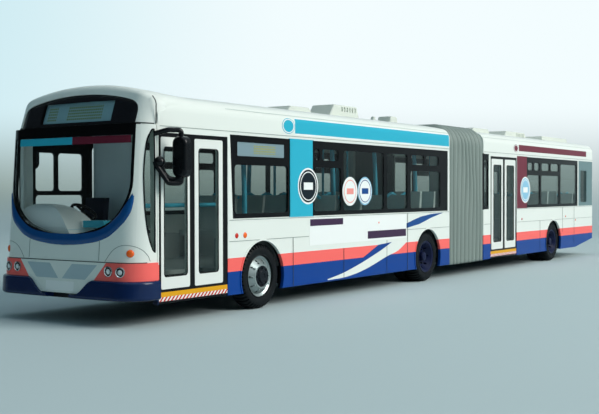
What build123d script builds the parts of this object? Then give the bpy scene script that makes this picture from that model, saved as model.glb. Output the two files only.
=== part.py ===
from build123d import *
import math
import os

# A 1:76 die-cast collector's model of a low-floor articulated single-deck bus.
# Millimetres. +X is the way it drives, +Y its nearside (the door side), +Z up.
# The origin is on the floor, under the middle of the bus.
# A percent along the front section runs from the back of the mask to the section's end.
# A percent along the rear section runs from its open end to the tail.

# Whole vehicle
bus_length = 233.8
body_width = 32.9
skirt_z = 3.45
waist_z = 17.2
window_top_z = 32.4
roof_z = 39.8
roof_crown_radius = 62.0
cant_radius = 2.7
wall = 1.0
end_wall = 1.2
seat_gap = 0.02
panel_gap = 0.12
spare = 1.0
mask_back = 6.8
front_section_length = 116.5
bellows_length = 21.2

# Front end: a shallow bow with tight corners, raked back, and above a ledge a dome that leans back
bow_radius = 250.0
nose_corner = 3.75
shoulder_radius = 3.9
shoulder_angle = 45.0
front_rake = 2.6
nose_foot_z = 5.0
nose_bottom_z = 5.2
nose_depth = 6.0
ledge_z = 33.1
ledge_depth = 1.0
dome_slope = 0.34

# Front mask
windscreen_margin = 1.85
windscreen_top_z = 33.4
windscreen_bottom_z = 14.5
windscreen_bottom_radius = 27.0
windscreen_turn = 7.45
seal_width = 0.45
seal_top = 2.0
destination_margin = 2.55
destination_top_z = 38.95
destination_drop = 1.5
destination_corner = 2.0
mask_glass_recess = 0.12
mask_glass_thickness = 0.6
board_thickness = 0.3
board_offside_margin = 7.25
board_nearside_margin = 8.05
board_bottom_z = 33.8
board_top_z = 37.7
quarter_edge = 0.55
quarter_top_z = 32.4
quarter_bottom_z = 12.1
quarter_depth = 1.9
apron_top_z = 10.5
apron_swell = 0.3
bumper_top_z = 7.6
bumper_bottom_z = 4.4
bumper_swell = 0.85
bumper_round = 0.5
bumper_margin = 8.65
bumper_turn_margin = 10.25
bumper_lip_margin = 13.65
bumper_lip_z = 5.1
lamp_length = 1.4
lamp_stand = 0.12

# Tail
tail_corner_radius = 3.0
tail_skirt_percent = 78.56
tail_skirt_z = 6.2
tail_window_margin = 4.95
tail_window_z = 21.0
tail_window_corner = 1.5
grille_margin = 6.45
grille_bottom_z = 8.2
grille_top_z = 12.4
grille_corner = 0.5
grille_depth = 0.7
slat_count = 6
grille_rail = 0.45
grille_post = 0.3
slot_front_percent = 84.2
slot_rear_percent = 90.8
slot_bottom_z = 18.4
slot_top_z = 29.2
slot_corner = 0.6

# Windows and doors
pane_bottom_z = 18.1
pane_top_z = 30.8
hopper_bottom_z = 28.5
hopper_bar_z = 27.0
cab_sill_z = 21.5
cab_light_bottom_z = 22.3
cab_light_top_z = 29.4
pane_corner = 0.7
frame_thickness = 0.5
frame_recess = 0.1
glass_thickness = 0.3
glass_recess = 0.2
door_top_z = 31.9
leaf_bottom_z = 5.9
leaf_top_z = 31.2
leaf_corner = 0.35
leaf_glass_bottom_z = 8.0
leaf_glass_top_z = 29.5
leaf_glass_corner = 0.5
leaf_thickness = 0.6
leaf_recess = 0.08
leaf_glass_recess = 0.15
step_bottom_z = 3.6
step_depth = 5.5
step_lap = 0.4
step_gap = 0.2
display_bottom_z = 28.6
display_top_z = 31.2
display_front_percent = 19.69
display_rear_percent = 33.27
display_corner = 0.2

# Wheels and axles
tyre_radius = 6.15
tyre_width = 3.5
tyre_shoulder = 0.6
tyre_wall_round = 0.5
twin_tyre_width = 7.2
rim_radius = 3.85
wheel_margin = 0.45
arch_radius = 6.75
arch_lip = 0.3
arch_lip_stand = 0.12
axle_radius = 0.75
axle_clearance = 0.05
front_axle_percent = 26.618
middle_axle_percent = 88.97
rear_axle_percent = 56.816
hub_cup_radius = 2.0
hub_cup_depth = 0.25
hub_rim_width = 0.25
hub_stand = 0.3
valley_radius = 3.4
valley_depth = 0.75
rim_lip_depth = 0.5
rim_web = 1.3
vent_radius = 0.2
vent_circle = 3.0
vent_count = 10
dish_depth = 1.8
boss_radius = 1.15
boss_height = 0.9
dish_flat_radius = 2.3
dish_vent_radius = 0.27
dish_vent_circle = 2.65
dish_vent_count = 8

# Chassis, floor and seats
chassis_z = 4.2
chassis_thickness = 1.0
chassis_gap = 0.3
floor_z = 7.6
floor_thickness = 0.7
floor_side_gap = 0.15
floor_front_gap = 0.5
floor_tail_gap = 2.5
wheel_bay_half = 7.2
wheel_bay_top_z = 12.9
wheel_bay_side = 0.9
wheel_box_wall = 0.6
bearing_margin = 10.15
bearing_width = 2.0
bearing_half = 1.9
screw_radius = 1.0
screw_boss_radius = 2.2
front_screw_percent = 47.767
rear_screw_percent = 34.86
seat_width = 11.0
box_seat_width = 7.6
seat_side_gap = 0.4
seat_pitch = 10.0
seat_room = 0.7
box_seat_ahead = 0.45
box_seat_behind = 7.15
seat_base_height = 4.4
seat_foot = 2.2
seat_cushion = 1.2
seat_depth = 5.4
seat_back_height = 7.4
seat_back = 1.1
seat_lean = 0.9
seat_split = 0.5
seat_split_depth = 2.6
pole_radius = 0.3
pole_gap = 0.6
rail_z = 33.6
front_rail_percents = (20.4, 95.2)
front_pole_percents = (36.8, 55.5, 73.8)
rear_rail_percents = (4.7, 86.9)
rear_pole_percents = (7.8, 27.6)

# Driver's cab
cab_side_gap = 1.6
cab_aisle_y = 0.6
cowl_front = 3.2
cowl_back = 3.8
cowl_height = 11.7
cowl_side_curve = ((0, 0.66), (0.12, 0.86), (0.32, 0.98), (0.5, 1.0), (0.68, 0.98), (0.88, 0.86), (1, 0.66))
cowl_front_curve = ((0, 0.9), (0.08, 0.98), (0.25, 1.0), (0.45, 0.985), (0.68, 0.9), (0.87, 0.74), (1, 0.55))
tray_width = 4.4
tray_z = 15.9
tray_height = 1.2
tray_back = 4.0
tray_depth = 3.6
wheel_rim_radius = 2.3
wheel_rim_section = 0.28
steering_back = 5.6
steering_y = 6.5
steering_z = 18.5
steering_tilt = -35.0
spoke_width = 0.5
spoke_thickness = 0.3
column_radius = 0.4
column_length = 2.9
driver_back = 13.2
driver_y = 10.1
driver_half = 2.5
driver_seat_z = 13.6
driver_cushion = 1.4
driver_depth = 6.6
driver_back_height = 7.4
driver_back_thickness = 1.2
driver_lean = 0.8
driver_post = 2.8
partition_percent = 15.0
partition_thickness = 0.6
partition_height = 23.2
cab_door_height = 8.6
cab_door_front_percent = 4.0
cab_wall_y = 4.6

# Mirrors
mirror_arm_radius = 0.42
mirror_bend = 0.5
mirror_head_depth = 1.6
mirror_head_round = 1.25
mirror_face_round = 0.55
mirror_sink = 0.15
near_mirror = {
    "side": 1, "root": 0.5, "back": 2.4, "reach": 3.15, "low": 24.4, "high": 31.2, "width": 3.0,
    "arm_high": 32.2, "arm_low": 23.5, "root_high": 31.6, "root_low": 27.0,
}
off_mirror = {
    "side": -1, "root": -0.9, "back": 4.0, "reach": 2.2, "low": 26.4, "high": 30.8, "width": 2.6,
    "arm_high": 31.7, "arm_low": 25.5, "root_high": 31.2, "root_low": 27.6,
}

# Articulation
passage_margin = 4.95
passage_top_z = 33.5
coupling_z = 5.0
coupling_thickness = 0.9
coupling_gap = 0.3
pivot_pin_radius = 1.45
pivot_clearance = 0.05
pivot_eye_radius = 4.6
pin_head_radius = 2.4
pin_head_height = 0.5
tongue_half = 3.2
link_reach = 6.0
pleats = 9
pleat_depth = 1.1
bellows_skin = 0.45
bellows_inset = 0.15
bellows_bottom_z = 3.2
bellows_top_z = 39.3
bellows_shoulder = 5.0
bellows_gap = 0.1
bellows_open_margin = 4.45
bellows_open_z = 8.0

# Roof pods
pod_round = 0.45
pod_slot_count = 6
pod_slot_pitch = 1.2
pod_slot_width = 0.5
pod_slot_height = 1.1
pod_slot_depth = 0.35
pod_slot_rear = 1.9

front_x = bus_length / 2
rear_x = -bus_length / 2
half_width = body_width / 2
inner_half = half_width - wall
bow_half = half_width - nose_corner
windscreen_half = half_width - windscreen_margin
windscreen_turn_y = half_width - windscreen_turn
destination_half = half_width - destination_margin
tail_window_half = half_width - tail_window_margin
grille_half = half_width - grille_margin
passage_half = half_width - passage_margin
bellows_open_half = half_width - bellows_open_margin
bearing_y = half_width - bearing_margin
wheel_face_y = half_width - wheel_margin
floor_top = floor_z + floor_thickness
chassis_top = chassis_z + chassis_thickness
hub_z = tyre_radius
wheel_box_top_z = wheel_bay_top_z + wheel_box_wall
mask_x = front_x - mask_back
front_end_x = front_x - front_section_length
rear_start_x = front_end_x - bellows_length
pivot_x = front_end_x - bellows_length / 2
nose_back_x = mask_x - nose_depth


def front_place(percent):
    """X of a place along the front section."""
    return mask_x - (mask_x - front_end_x) * percent / 100


def rear_place(percent):
    """X of a place along the rear section."""
    return rear_start_x - (rear_start_x - rear_x) * percent / 100


front_axle_x = front_place(front_axle_percent)
middle_axle_x = front_place(middle_axle_percent)
rear_axle_x = rear_place(rear_axle_percent)

# Window bands: side, front edge and rear edge in percent, and how far the front edge leans
front_bands = [
    (1, 18.32, 34.91, 0.8),
    (1, 42.21, 99.09, 0.0),
    (-1, 1.46, 99.09, 0.0),
]
rear_bands = [
    (1, 0.42, 3.85, 0.0),
    (1, 33.19, 81.17, 0.0),
    (-1, 1.46, 81.17, 0.0),
]

# Panes: side, front edge and rear edge in percent, bottom, top
front_panes = [
    (1, 18.96, 34.37, pane_bottom_z, hopper_bar_z),
    (1, 42.84, 52.32, pane_bottom_z, hopper_bar_z),
    (1, 43.03, 44.67, hopper_bottom_z, pane_top_z),
    (1, 45.58, 51.32, hopper_bottom_z, pane_top_z),
    (1, 53.24, 69.1, pane_bottom_z, pane_top_z),
    (1, 70.46, 79.4, pane_bottom_z, pane_top_z),
    (1, 80.95, 95.35, pane_bottom_z, hopper_bar_z),
    (1, 81.13, 87.33, hopper_bottom_z, pane_top_z),
    (1, 88.24, 94.62, hopper_bottom_z, pane_top_z),
    (-1, 2.37, 6.65, cab_light_bottom_z, cab_light_top_z),
    (-1, 7.38, 13.13, cab_light_bottom_z, cab_light_top_z),
    (-1, 2.37, 13.13, pane_bottom_z, cab_sill_z),
    (-1, 15.31, 32.63, pane_bottom_z, pane_top_z),
    (-1, 33.91, 50.14, pane_bottom_z, hopper_bar_z),
    (-1, 34.09, 41.57, hopper_bottom_z, pane_top_z),
    (-1, 42.48, 49.95, hopper_bottom_z, pane_top_z),
    (-1, 51.41, 68.37, pane_bottom_z, pane_top_z),
    (-1, 69.64, 79.4, pane_bottom_z, pane_top_z),
    (-1, 80.95, 95.35, pane_bottom_z, hopper_bar_z),
    (-1, 81.13, 87.33, hopper_bottom_z, pane_top_z),
    (-1, 88.24, 94.62, hopper_bottom_z, pane_top_z),
]
rear_panes = [
    (1, 0.9, 3.4, pane_bottom_z, pane_top_z),
    (1, 33.82, 44.75, pane_bottom_z, hopper_bar_z),
    (1, 34.24, 38.81, hopper_bottom_z, pane_top_z),
    (1, 39.85, 44.54, hopper_bottom_z, pane_top_z),
    (1, 45.99, 62.75, pane_bottom_z, hopper_bar_z),
    (1, 46.31, 53.59, hopper_bottom_z, pane_top_z),
    (1, 54.63, 62.54, hopper_bottom_z, pane_top_z),
    (1, 64.0, 80.33, pane_bottom_z, pane_top_z),
    (-1, 2.6, 21.54, pane_bottom_z, pane_top_z),
    (-1, 23.0, 42.14, pane_bottom_z, hopper_bar_z),
    (-1, 23.2, 32.05, hopper_bottom_z, pane_top_z),
    (-1, 33.09, 41.94, hopper_bottom_z, pane_top_z),
    (-1, 43.6, 62.54, pane_bottom_z, hopper_bar_z),
    (-1, 43.81, 52.55, hopper_bottom_z, pane_top_z),
    (-1, 53.59, 62.33, hopper_bottom_z, pane_top_z),
    (-1, 64.0, 80.33, pane_bottom_z, pane_top_z),
]

# Doors in percent: opening, then each leaf's front and rear edge and its glass's
front_door = (0.36, 16.96)
front_leaves = [(0.91, 7.57, 1.64, 6.93), (8.71, 15.77, 9.75, 14.59)]
rear_door = (5.1, 24.87)
rear_leaves = [(5.93, 14.36, 7.39, 13.01), (15.71, 24.04, 17.17, 22.68)]

# Front lamps: distance in from the side, height, radius, and how far the panel round them stands out
front_lamp_table = [
    (5.45, 9.15, 0.8, apron_swell),
    (3.0, 9.1, 0.8, apron_swell),
    (1.8, 12.1, 0.62, 0.0),
]
# Tail lamps: distance in from the side, height, radius
tail_lamp_table = [
    (3.15, 15.2, 0.8),
    (3.15, 13.3, 0.8),
    (3.15, 11.4, 0.8),
]
# Roof fittings: place, front and rear in percent, half width, rise, front slope, rear slope, slotted sides
roof_fittings = [
    ("front", 51.4, 60.5, 3.3, 1.2, 1.4, 1.4, False),
    ("front", 67.1, 79.5, 3.2, 2.8, 2.2, 1.2, True),
    ("front", 89.9, 91.2, 0.6, 1.5, 0.3, 0.3, False),
    ("front", 95.5, 99.4, 2.0, 1.9, 0.5, 0.5, False),
    ("rear", 12.0, 24.4, 8.0, 0.7, 0.8, 0.8, False),
    ("rear", 48.4, 67.3, 3.4, 1.7, 1.6, 1.0, True),
    ("rear", 68.7, 94.2, 8.4, 0.7, 0.8, 0.8, False),
]

os.makedirs("parts", exist_ok=True)


def save(name, *shapes):
    solids = []
    for shape in shapes:
        solids += list(shape.solids())
    export_step(Compound(label=name, children=solids), f"parts/{name}.step")


def block(x0, x1, y0, y1, z0, z1):
    size = Box(abs(x1 - x0), abs(y1 - y0), abs(z1 - z0))
    return Pos((x0 + x1) / 2, (y0 + y1) / 2, (z0 + z1) / 2) * size


def side_plate(outline, y0, y1):
    """A sketch drawn in X and Z, as thick as from y0 to y1."""
    low = min(y0, y1)
    high = max(y0, y1)
    plane = Plane(origin=(0, high, 0), x_dir=(1, 0, 0), z_dir=(0, -1, 0))
    return extrude(plane * outline, amount=high - low)


def across(outline, x0, x1):
    """A sketch drawn in Y and Z, as long as from x0 to x1."""
    plane = Plane(origin=(x0, 0, 0), x_dir=(0, 1, 0), z_dir=(1, 0, 0))
    return extrude(plane * outline, amount=x1 - x0)


def polygon(*points):
    return make_face(Wire(Polyline(*points, points[0]).edges()))


def rounded(a0, a1, b0, b1, radius):
    size = RectangleRounded(abs(a1 - a0), abs(b1 - b0), radius)
    return Pos((a0 + a1) / 2, (b0 + b1) / 2) * size


def y_cylinder(x, z, radius, y0, y1):
    return Pos(x, (y0 + y1) / 2, z) * Rot(90, 0, 0) * Cylinder(radius, abs(y1 - y0))


# Outer form of the body

def nose_points(inset):
    """Corner points of half the bowed nose in plan, measured from its tip."""
    half = half_width - inset
    low = math.asin(bow_half / bow_radius)
    turn = math.radians(shoulder_angle)
    bow_r = bow_radius - inset
    shoulder_r = shoulder_radius - inset
    x1 = bow_r * (math.cos(low) - 1.0)
    y1 = bow_r * math.sin(low)
    centre_x = x1 - shoulder_r * math.cos(low)
    centre_y = y1 - shoulder_r * math.sin(low)
    middle = (low + turn) / 2
    shoulder = (centre_x + shoulder_r * math.cos(middle), centre_y + shoulder_r * math.sin(middle))
    x2 = centre_x + shoulder_r * math.cos(turn)
    y2 = centre_y + shoulder_r * math.sin(turn)
    corner_r = (half - y2) / (1.0 - math.sin(turn))
    corner_x = x2 - corner_r * math.cos(turn)
    bend = (turn + math.pi / 2) / 2
    corner = (corner_x + corner_r * math.cos(bend), half - corner_r + corner_r * math.sin(bend))
    return (x1, y1), shoulder, (x2, y2), corner, (corner_x, half)


def nose_tip_x(z):
    """X of the middle of the nose's face at a height below the ledge."""
    lean = front_rake * (z - nose_foot_z) / (roof_z - nose_foot_z)
    return front_x - bumper_swell - lean


def dome_tip_x(z):
    """X of the middle of the dome's face at a height: it starts behind the ledge and leans back."""
    return nose_tip_x(ledge_z) - ledge_depth - dome_slope * (z - ledge_z)


def nose_surface_x(y, z, swell):
    """X of the nose's face, or of a panel that stands out from it, at a place across and a height."""
    bow_end, shoulder, shoulder_end, corner, side = nose_points(-swell)
    tip = nose_tip_x(z) + swell
    bow_r = bow_radius + swell
    if y <= bow_end[1]:
        return tip - bow_r + math.sqrt(bow_r ** 2 - y ** 2)
    low = math.asin(bow_half / bow_radius)
    if y <= shoulder_end[1]:
        shoulder_r = shoulder_radius + swell
        centre_x = bow_end[0] - shoulder_r * math.cos(low)
        centre_y = bow_end[1] - shoulder_r * math.sin(low)
        return tip + centre_x + math.sqrt(shoulder_r ** 2 - (y - centre_y) ** 2)
    turn = math.radians(shoulder_angle)
    corner_r = (half_width + swell - shoulder_end[1]) / (1.0 - math.sin(turn))
    centre_y = half_width + swell - corner_r
    return tip + side[0] + math.sqrt(corner_r ** 2 - (y - centre_y) ** 2)


def nose_normal_angle(y, swell):
    """Angle of the nose's face at a place across the bus, from straight ahead."""
    step = seat_gap
    slope = (nose_surface_x(y, 0.0, swell) - nose_surface_x(y + step, 0.0, swell)) / step
    return math.degrees(math.atan(slope))


def plan_outline(inset, rear_edge_x, z, tip_x):
    """Plan of the front section: bowed nose, rounded corners, straight sides."""
    tip = tip_x - inset
    bow_end, shoulder, shoulder_end, corner, side = nose_points(inset)
    right = [(tip + x, y) for x, y in (bow_end, shoulder, shoulder_end, corner, side)]
    left = [(x, -y) for x, y in right]
    back_right = (rear_edge_x, right[4][1])
    back_left = (rear_edge_x, left[4][1])
    edges = [
        Line(back_right, right[4]),
        ThreePointArc(right[4], right[3], right[2]),
        ThreePointArc(right[2], right[1], right[0]),
        ThreePointArc(right[0], (tip, 0.0), left[0]),
        ThreePointArc(left[0], left[1], left[2]),
        ThreePointArc(left[2], left[3], left[4]),
        Line(left[4], back_left),
        Line(back_left, back_right),
    ]
    return Pos(0, 0, z) * make_face(Wire(edges))


def nose_block(inset, rear_edge_x, z0, z1):
    """The raked lower form of the front section between two heights."""
    return loft([
        plan_outline(inset, rear_edge_x, z0, nose_tip_x(z0)),
        plan_outline(inset, rear_edge_x, z1, nose_tip_x(z1)),
    ], ruled=True)


def crowned_bar(inset, x0, x1, bottom_z):
    """Upright sides under a crowned roof, before the cant is rounded."""
    half = half_width - inset
    top = roof_z - inset
    edge_z = top - roof_crown_radius + math.sqrt(roof_crown_radius ** 2 - half ** 2)
    edges = [
        Line((-half, edge_z), (-half, bottom_z)),
        Line((-half, bottom_z), (half, bottom_z)),
        Line((half, bottom_z), (half, edge_z)),
        ThreePointArc((half, edge_z), (0, top), (-half, edge_z)),
    ]
    return across(make_face(Wire(edges)), x0, x1)


def round_cant(form, radius, open_end_x):
    """Rounds the roof's edge all the way round, apart from the open end."""
    rim = []
    for edge in form.edges():
        box = edge.bounding_box()
        on_open_end = abs(box.min.X - open_end_x) < panel_gap and abs(box.max.X - open_end_x) < panel_gap
        if box.min.Z > ledge_z + ledge_depth and not on_open_end:
            rim.append(edge)
    return fillet(rim, radius)


def front_form(inset, bottom_z, rear_edge_x):
    """Front section's form: a raked nose up to the ledge, and the leaning dome behind it."""
    top_z = roof_z + spare
    dome_foot_z = ledge_z - 2 * ledge_depth
    dome = loft([
        plan_outline(inset, rear_edge_x, dome_foot_z, dome_tip_x(dome_foot_z)),
        plan_outline(inset, rear_edge_x, top_z, dome_tip_x(top_z)),
    ], ruled=True)
    nose = nose_block(inset, rear_edge_x, bottom_z, ledge_z - inset)
    form = (nose + dome) & crowned_bar(inset, rear_edge_x - spare, front_x + spare, bottom_z)
    return round_cant(form, cant_radius - inset * 0.6, rear_edge_x)


def rear_form(inset, bottom_z, front_edge_x):
    """Rear section's form: straight sides and a flat tail with rounded corners."""
    half = half_width - inset
    tail = rear_x + inset
    r = tail_corner_radius - inset / 2
    short = r * (1.0 - math.sqrt(0.5))
    edges = [
        Line((front_edge_x, half), (tail + r, half)),
        ThreePointArc((tail + r, half), (tail + short, half - short), (tail, half - r)),
        Line((tail, half - r), (tail, r - half)),
        ThreePointArc((tail, r - half), (tail + short, short - half), (tail + r, -half)),
        Line((tail + r, -half), (front_edge_x, -half)),
        Line((front_edge_x, -half), (front_edge_x, half)),
    ]
    plan = Pos(0, 0, bottom_z) * make_face(Wire(edges))
    bar = extrude(plan, amount=roof_z + spare - bottom_z, dir=(0, 0, 1))
    form = bar & crowned_bar(inset, rear_x - spare, front_edge_x + spare, bottom_z)
    return round_cant(form, cant_radius - inset * 0.6, front_edge_x)


# Shells

def slab(x0, x1):
    """A slice of space across the bus, between two places along it."""
    return block(x0, x1, -body_width, body_width, -roof_z, 2 * roof_z)


def arch_cut(axle_x):
    """The wheel arches of one axle, cut through both sides."""
    return y_cylinder(axle_x, hub_z, arch_radius, -half_width - spare, half_width + spare)


def arch_lips(axle_x):
    """Rolled edge round each wheel arch of one axle."""
    lips = []
    for side in (-1, 1):
        inner_y = side * (half_width - wall / 2)
        outer_y = side * (half_width + arch_lip_stand)
        lip = y_cylinder(axle_x, hub_z, arch_radius + arch_lip, inner_y, outer_y)
        lip -= y_cylinder(axle_x, hub_z, arch_radius, inner_y * 0.9, outer_y * 1.1)
        reach = arch_radius + wall
        lips.append(lip & block(axle_x - reach, axle_x + reach, 0.0, side * body_width, skirt_z, roof_z))
    return lips


def window_band(place, band, shrink):
    """Outline of a black window band, its front edge leaning forward at the top."""
    side, ahead, behind, lean = band
    front = place(ahead) - shrink
    rear = place(behind) + shrink
    return polygon(
        (front, waist_z + shrink),
        (front + lean, window_top_z - shrink),
        (rear, window_top_z - shrink),
        (rear, waist_z + shrink),
    )


def side_cut(outline, side):
    return side_plate(outline, side * (inner_half - wall / 2), side * (half_width + spare))


def door_cut(place, door):
    return block(
        place(door[1]), place(door[0]), inner_half - wall / 2, half_width + spare, 0.0, door_top_z)


def open_shell(outer, hollow, end_x, place, bands, door, axles):
    """A section's shell with its passage, wheel arches, door and window bands cut."""
    shell = outer - hollow
    shell -= block(
        end_x - 2 * end_wall, end_x + 2 * end_wall, -passage_half, passage_half, 0.0, passage_top_z)
    for axle_x in axles:
        shell -= arch_cut(axle_x)
        for lip in arch_lips(axle_x):
            shell += lip
    shell -= door_cut(place, door)
    for band in bands:
        shell -= side_cut(window_band(place, band, 0.0), band[0])
    return shell


front_outer = front_form(0.0, skirt_z, front_end_x)
front_hollow = front_form(wall, skirt_z - spare, front_end_x + end_wall)
front_shell = open_shell(
    front_outer, front_hollow, front_end_x, front_place, front_bands, front_door,
    (front_axle_x, middle_axle_x))
front_body = front_shell & slab(front_end_x - spare, mask_x - panel_gap / 2)
save("front_body", front_body)

rear_outer = rear_form(0.0, skirt_z, rear_start_x)
rear_hollow = rear_form(wall, skirt_z - spare, rear_start_x - end_wall)
rear_body = open_shell(
    rear_outer, rear_hollow, rear_start_x, rear_place, rear_bands, rear_door, (rear_axle_x,))
tail_skirt_x = rear_place(tail_skirt_percent)
sweep_up = polygon(
    (tail_skirt_x, skirt_z),
    (rear_x - spare, tail_skirt_z),
    (rear_x - spare, skirt_z - spare),
    (tail_skirt_x, skirt_z - spare),
)
rear_body -= side_plate(sweep_up, -half_width - spare, half_width + spare)
tail_window = rounded(
    -tail_window_half, tail_window_half, tail_window_z, window_top_z, tail_window_corner)
rear_body -= across(tail_window, rear_x - spare, rear_x + 2 * wall)
grille_opening = rounded(-grille_half, grille_half, grille_bottom_z, grille_top_z, grille_corner)
rear_body -= across(grille_opening, rear_x - spare, rear_x + 2 * wall)
corner_slot = rounded(
    rear_place(slot_rear_percent), rear_place(slot_front_percent), slot_bottom_z, slot_top_z, slot_corner)
tail_lamps = []
for side in (-1, 1):
    rear_body -= side_cut(corner_slot, side)
    for inset_y, z, radius in tail_lamp_table:
        place = Pos(rear_x + lamp_length / 2, side * (half_width - inset_y), z) * Rot(0, 90, 0)
        rear_body -= place * Cylinder(radius + seat_gap, 4 * lamp_length)
        lens = place * Cylinder(radius, lamp_length)
        rim = lens.edges().filter_by(GeomType.CIRCLE).sort_by(Axis.X)[0]
        tail_lamps.append(chamfer(rim, radius * 0.3))
save("rear_lamps", *tail_lamps)
save("rear_body", rear_body)

# Slats of the engine grille, joined by their posts
grille = across(rounded(
    -grille_half + seat_gap, grille_half - seat_gap,
    grille_bottom_z + seat_gap, grille_top_z - seat_gap, grille_corner),
    rear_x + frame_recess, rear_x + frame_recess + grille_depth)
slat_pitch = (grille_top_z - grille_bottom_z - grille_rail * 1.4) / slat_count
slat_end = grille_half - 2 * grille_post
for row in range(slat_count):
    z = grille_bottom_z + grille_rail + row * slat_pitch
    for side in (-1, 1):
        grille -= block(
            rear_x, rear_x + wall, side * grille_post, side * slat_end, z, z + slat_pitch / 2)
save("rear_grille", grille)


# Front mask

def windscreen_outline(grow, top_z):
    """Windscreen in front view: upright sides turning into a bowed bottom edge."""
    half = windscreen_half + grow
    radius = windscreen_bottom_radius + grow
    bottom = windscreen_bottom_z - grow
    turn = math.asin(windscreen_turn_y / windscreen_bottom_radius)
    y1 = radius * math.sin(turn)
    z1 = bottom + radius * (1.0 - math.cos(turn))
    corner = (half - y1) / (1.0 - math.sin(turn))
    z2 = z1 + corner * math.cos(turn)
    bend = (turn + math.pi / 2) / 2
    ym = half - corner + corner * math.sin(bend)
    zm = z2 - corner * math.cos(bend)
    edges = [
        Line((half, top_z), (half, z2)),
        ThreePointArc((half, z2), (ym, zm), (y1, z1)),
        ThreePointArc((y1, z1), (0, bottom), (-y1, z1)),
        ThreePointArc((-y1, z1), (-ym, zm), (-half, z2)),
        Line((-half, z2), (-half, top_z)),
        Line((-half, top_z), (half, top_z)),
    ]
    return make_face(Wire(edges))


def destination_outline(grow):
    """Destination glass in front view: flat bottom, bowed top, round top corners."""
    half = destination_half + grow
    top = destination_top_z + grow
    shoulder = top - destination_drop
    low = windscreen_top_z - grow
    edges = [
        Line((-half, shoulder), (-half, low)),
        Line((-half, low), (half, low)),
        Line((half, low), (half, shoulder)),
        ThreePointArc((half, shoulder), (0, top), (-half, shoulder)),
    ]
    face = make_face(Wire(edges))
    return fillet(face.vertices().sort_by(Axis.Y)[-2:], destination_corner)


def quarter_outline(shrink):
    """Narrow light beside the windscreen, in side view: an upright back edge and a bowed front one."""
    rear = mask_x + quarter_edge + shrink
    low = quarter_bottom_z + shrink
    high = quarter_top_z - shrink
    rise = high - low
    depth = quarter_depth - 2 * shrink
    bow = Spline(
        (rear, high), (rear + depth * 0.4, high - rise * 0.03), (rear + depth * 0.82, high - rise * 0.17),
        (rear + depth, high - rise * 0.42), (rear + depth * 0.97, high - rise * 0.67),
        (rear + depth * 0.8, high - rise * 0.84), (rear + depth * 0.42, high - rise * 0.96), (rear, low))
    return make_face(Wire([bow, Line((rear, low), (rear, high))]))


def bumper_outline(side):
    """One lower corner in front view: its inner edge curves in and down to a thin lip."""
    outer = side * (half_width + 2 * spare)
    top_y = side * (half_width - bumper_margin)
    turn_y = side * (half_width - bumper_turn_margin)
    lip_y = side * (half_width - bumper_lip_margin)
    turn_z = bumper_lip_z + (bumper_top_z - bumper_lip_z) * 0.55
    bend_z = bumper_lip_z + (bumper_top_z - bumper_lip_z) * 0.2
    curve = Spline(
        (top_y, bumper_top_z), (turn_y, turn_z), (turn_y - side * spare, bend_z), (lip_y, bumper_lip_z))
    return make_face(Wire([
        curve,
        Line((lip_y, bumper_lip_z), (lip_y, bumper_bottom_z)),
        Line((lip_y, bumper_bottom_z), (outer, bumper_bottom_z)),
        Line((outer, bumper_bottom_z), (outer, bumper_top_z)),
        Line((outer, bumper_top_z), (top_y, bumper_top_z)),
    ]))


def skin(recess, thickness):
    """A layer of the front form, from one depth below its surface to another."""
    outer = front_form(recess, nose_bottom_z + spare, nose_back_x)
    inner = front_form(recess + thickness, nose_bottom_z, nose_back_x - spare)
    return outer - inner


def nose_layer(swell, z0, z1):
    """A band round the lower nose, between two heights, that stands out from its face."""
    outer = nose_block(-swell, nose_back_x, z0, z1)
    inner = nose_block(wall, nose_back_x - spare, z0 - spare, z1 + spare)
    return (outer - inner) & slab(mask_x + panel_gap / 2, front_x + spare)


front_mask = front_shell & slab(mask_x + panel_gap / 2, front_x + spare)
front_mask -= block(mask_x, front_x + spare, -body_width, body_width, 0.0, nose_bottom_z)
front_mask += nose_layer(apron_swell, nose_bottom_z, apron_top_z)
screen_back_x = mask_x + 3 * panel_gap
front_mask -= across(windscreen_outline(0.0, windscreen_top_z), screen_back_x, front_x + spare)
front_mask -= across(destination_outline(0.0), screen_back_x, front_x + spare)

bumper_band = nose_layer(bumper_swell, bumper_bottom_z, bumper_top_z)
bumpers = []
for side in (-1, 1):
    corner = across(bumper_outline(side), mask_x, front_x + spare)
    front_mask -= corner
    bumper = bumper_band & corner
    rim = []
    for edge in bumper.edges():
        box = edge.bounding_box()
        flat = box.max.Z - box.min.Z < seat_gap
        middle = edge @ 0.5
        face_x = nose_surface_x(min(abs(middle.Y), half_width), middle.Z, bumper_swell)
        outside = middle.X > face_x - wall / 2 or abs(middle.Y) > half_width
        on_back = box.max.X < mask_x + 2 * panel_gap
        if flat and outside and not on_back:
            rim.append(edge)
    bumpers.append(fillet(rim, bumper_round))
save("front_bumper", *bumpers)

front_lamps = []
quarter_glass = []
for side in (-1, 1):
    for inset_y, z, radius, swell in front_lamp_table:
        y = half_width - inset_y
        turn = nose_normal_angle(y, swell)
        place = Pos(nose_surface_x(y, z, swell), side * y, z) * Rot(0, 0, side * turn) * Rot(0, 90, 0)
        front_mask -= place * Cylinder(radius + seat_gap, 2 * lamp_length)
        lens = Cylinder(radius, lamp_length)
        lens = chamfer(lens.edges().filter_by(GeomType.CIRCLE).sort_by(Axis.Z)[-1], radius * 0.3)
        front_lamps.append(place * Pos(0, 0, lamp_stand - lamp_length / 2) * lens)
    inner_y = side * (half_width - 4 * wall)
    outer_y = side * (half_width + spare)
    front_mask -= side_plate(quarter_outline(0.0), inner_y, outer_y)
    pane = side_plate(quarter_outline(seat_gap), inner_y, outer_y)
    quarter_glass.append(skin(glass_recess, glass_thickness) & pane)
save("front_lamps", *front_lamps)
save("front_mask", front_mask)

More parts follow.
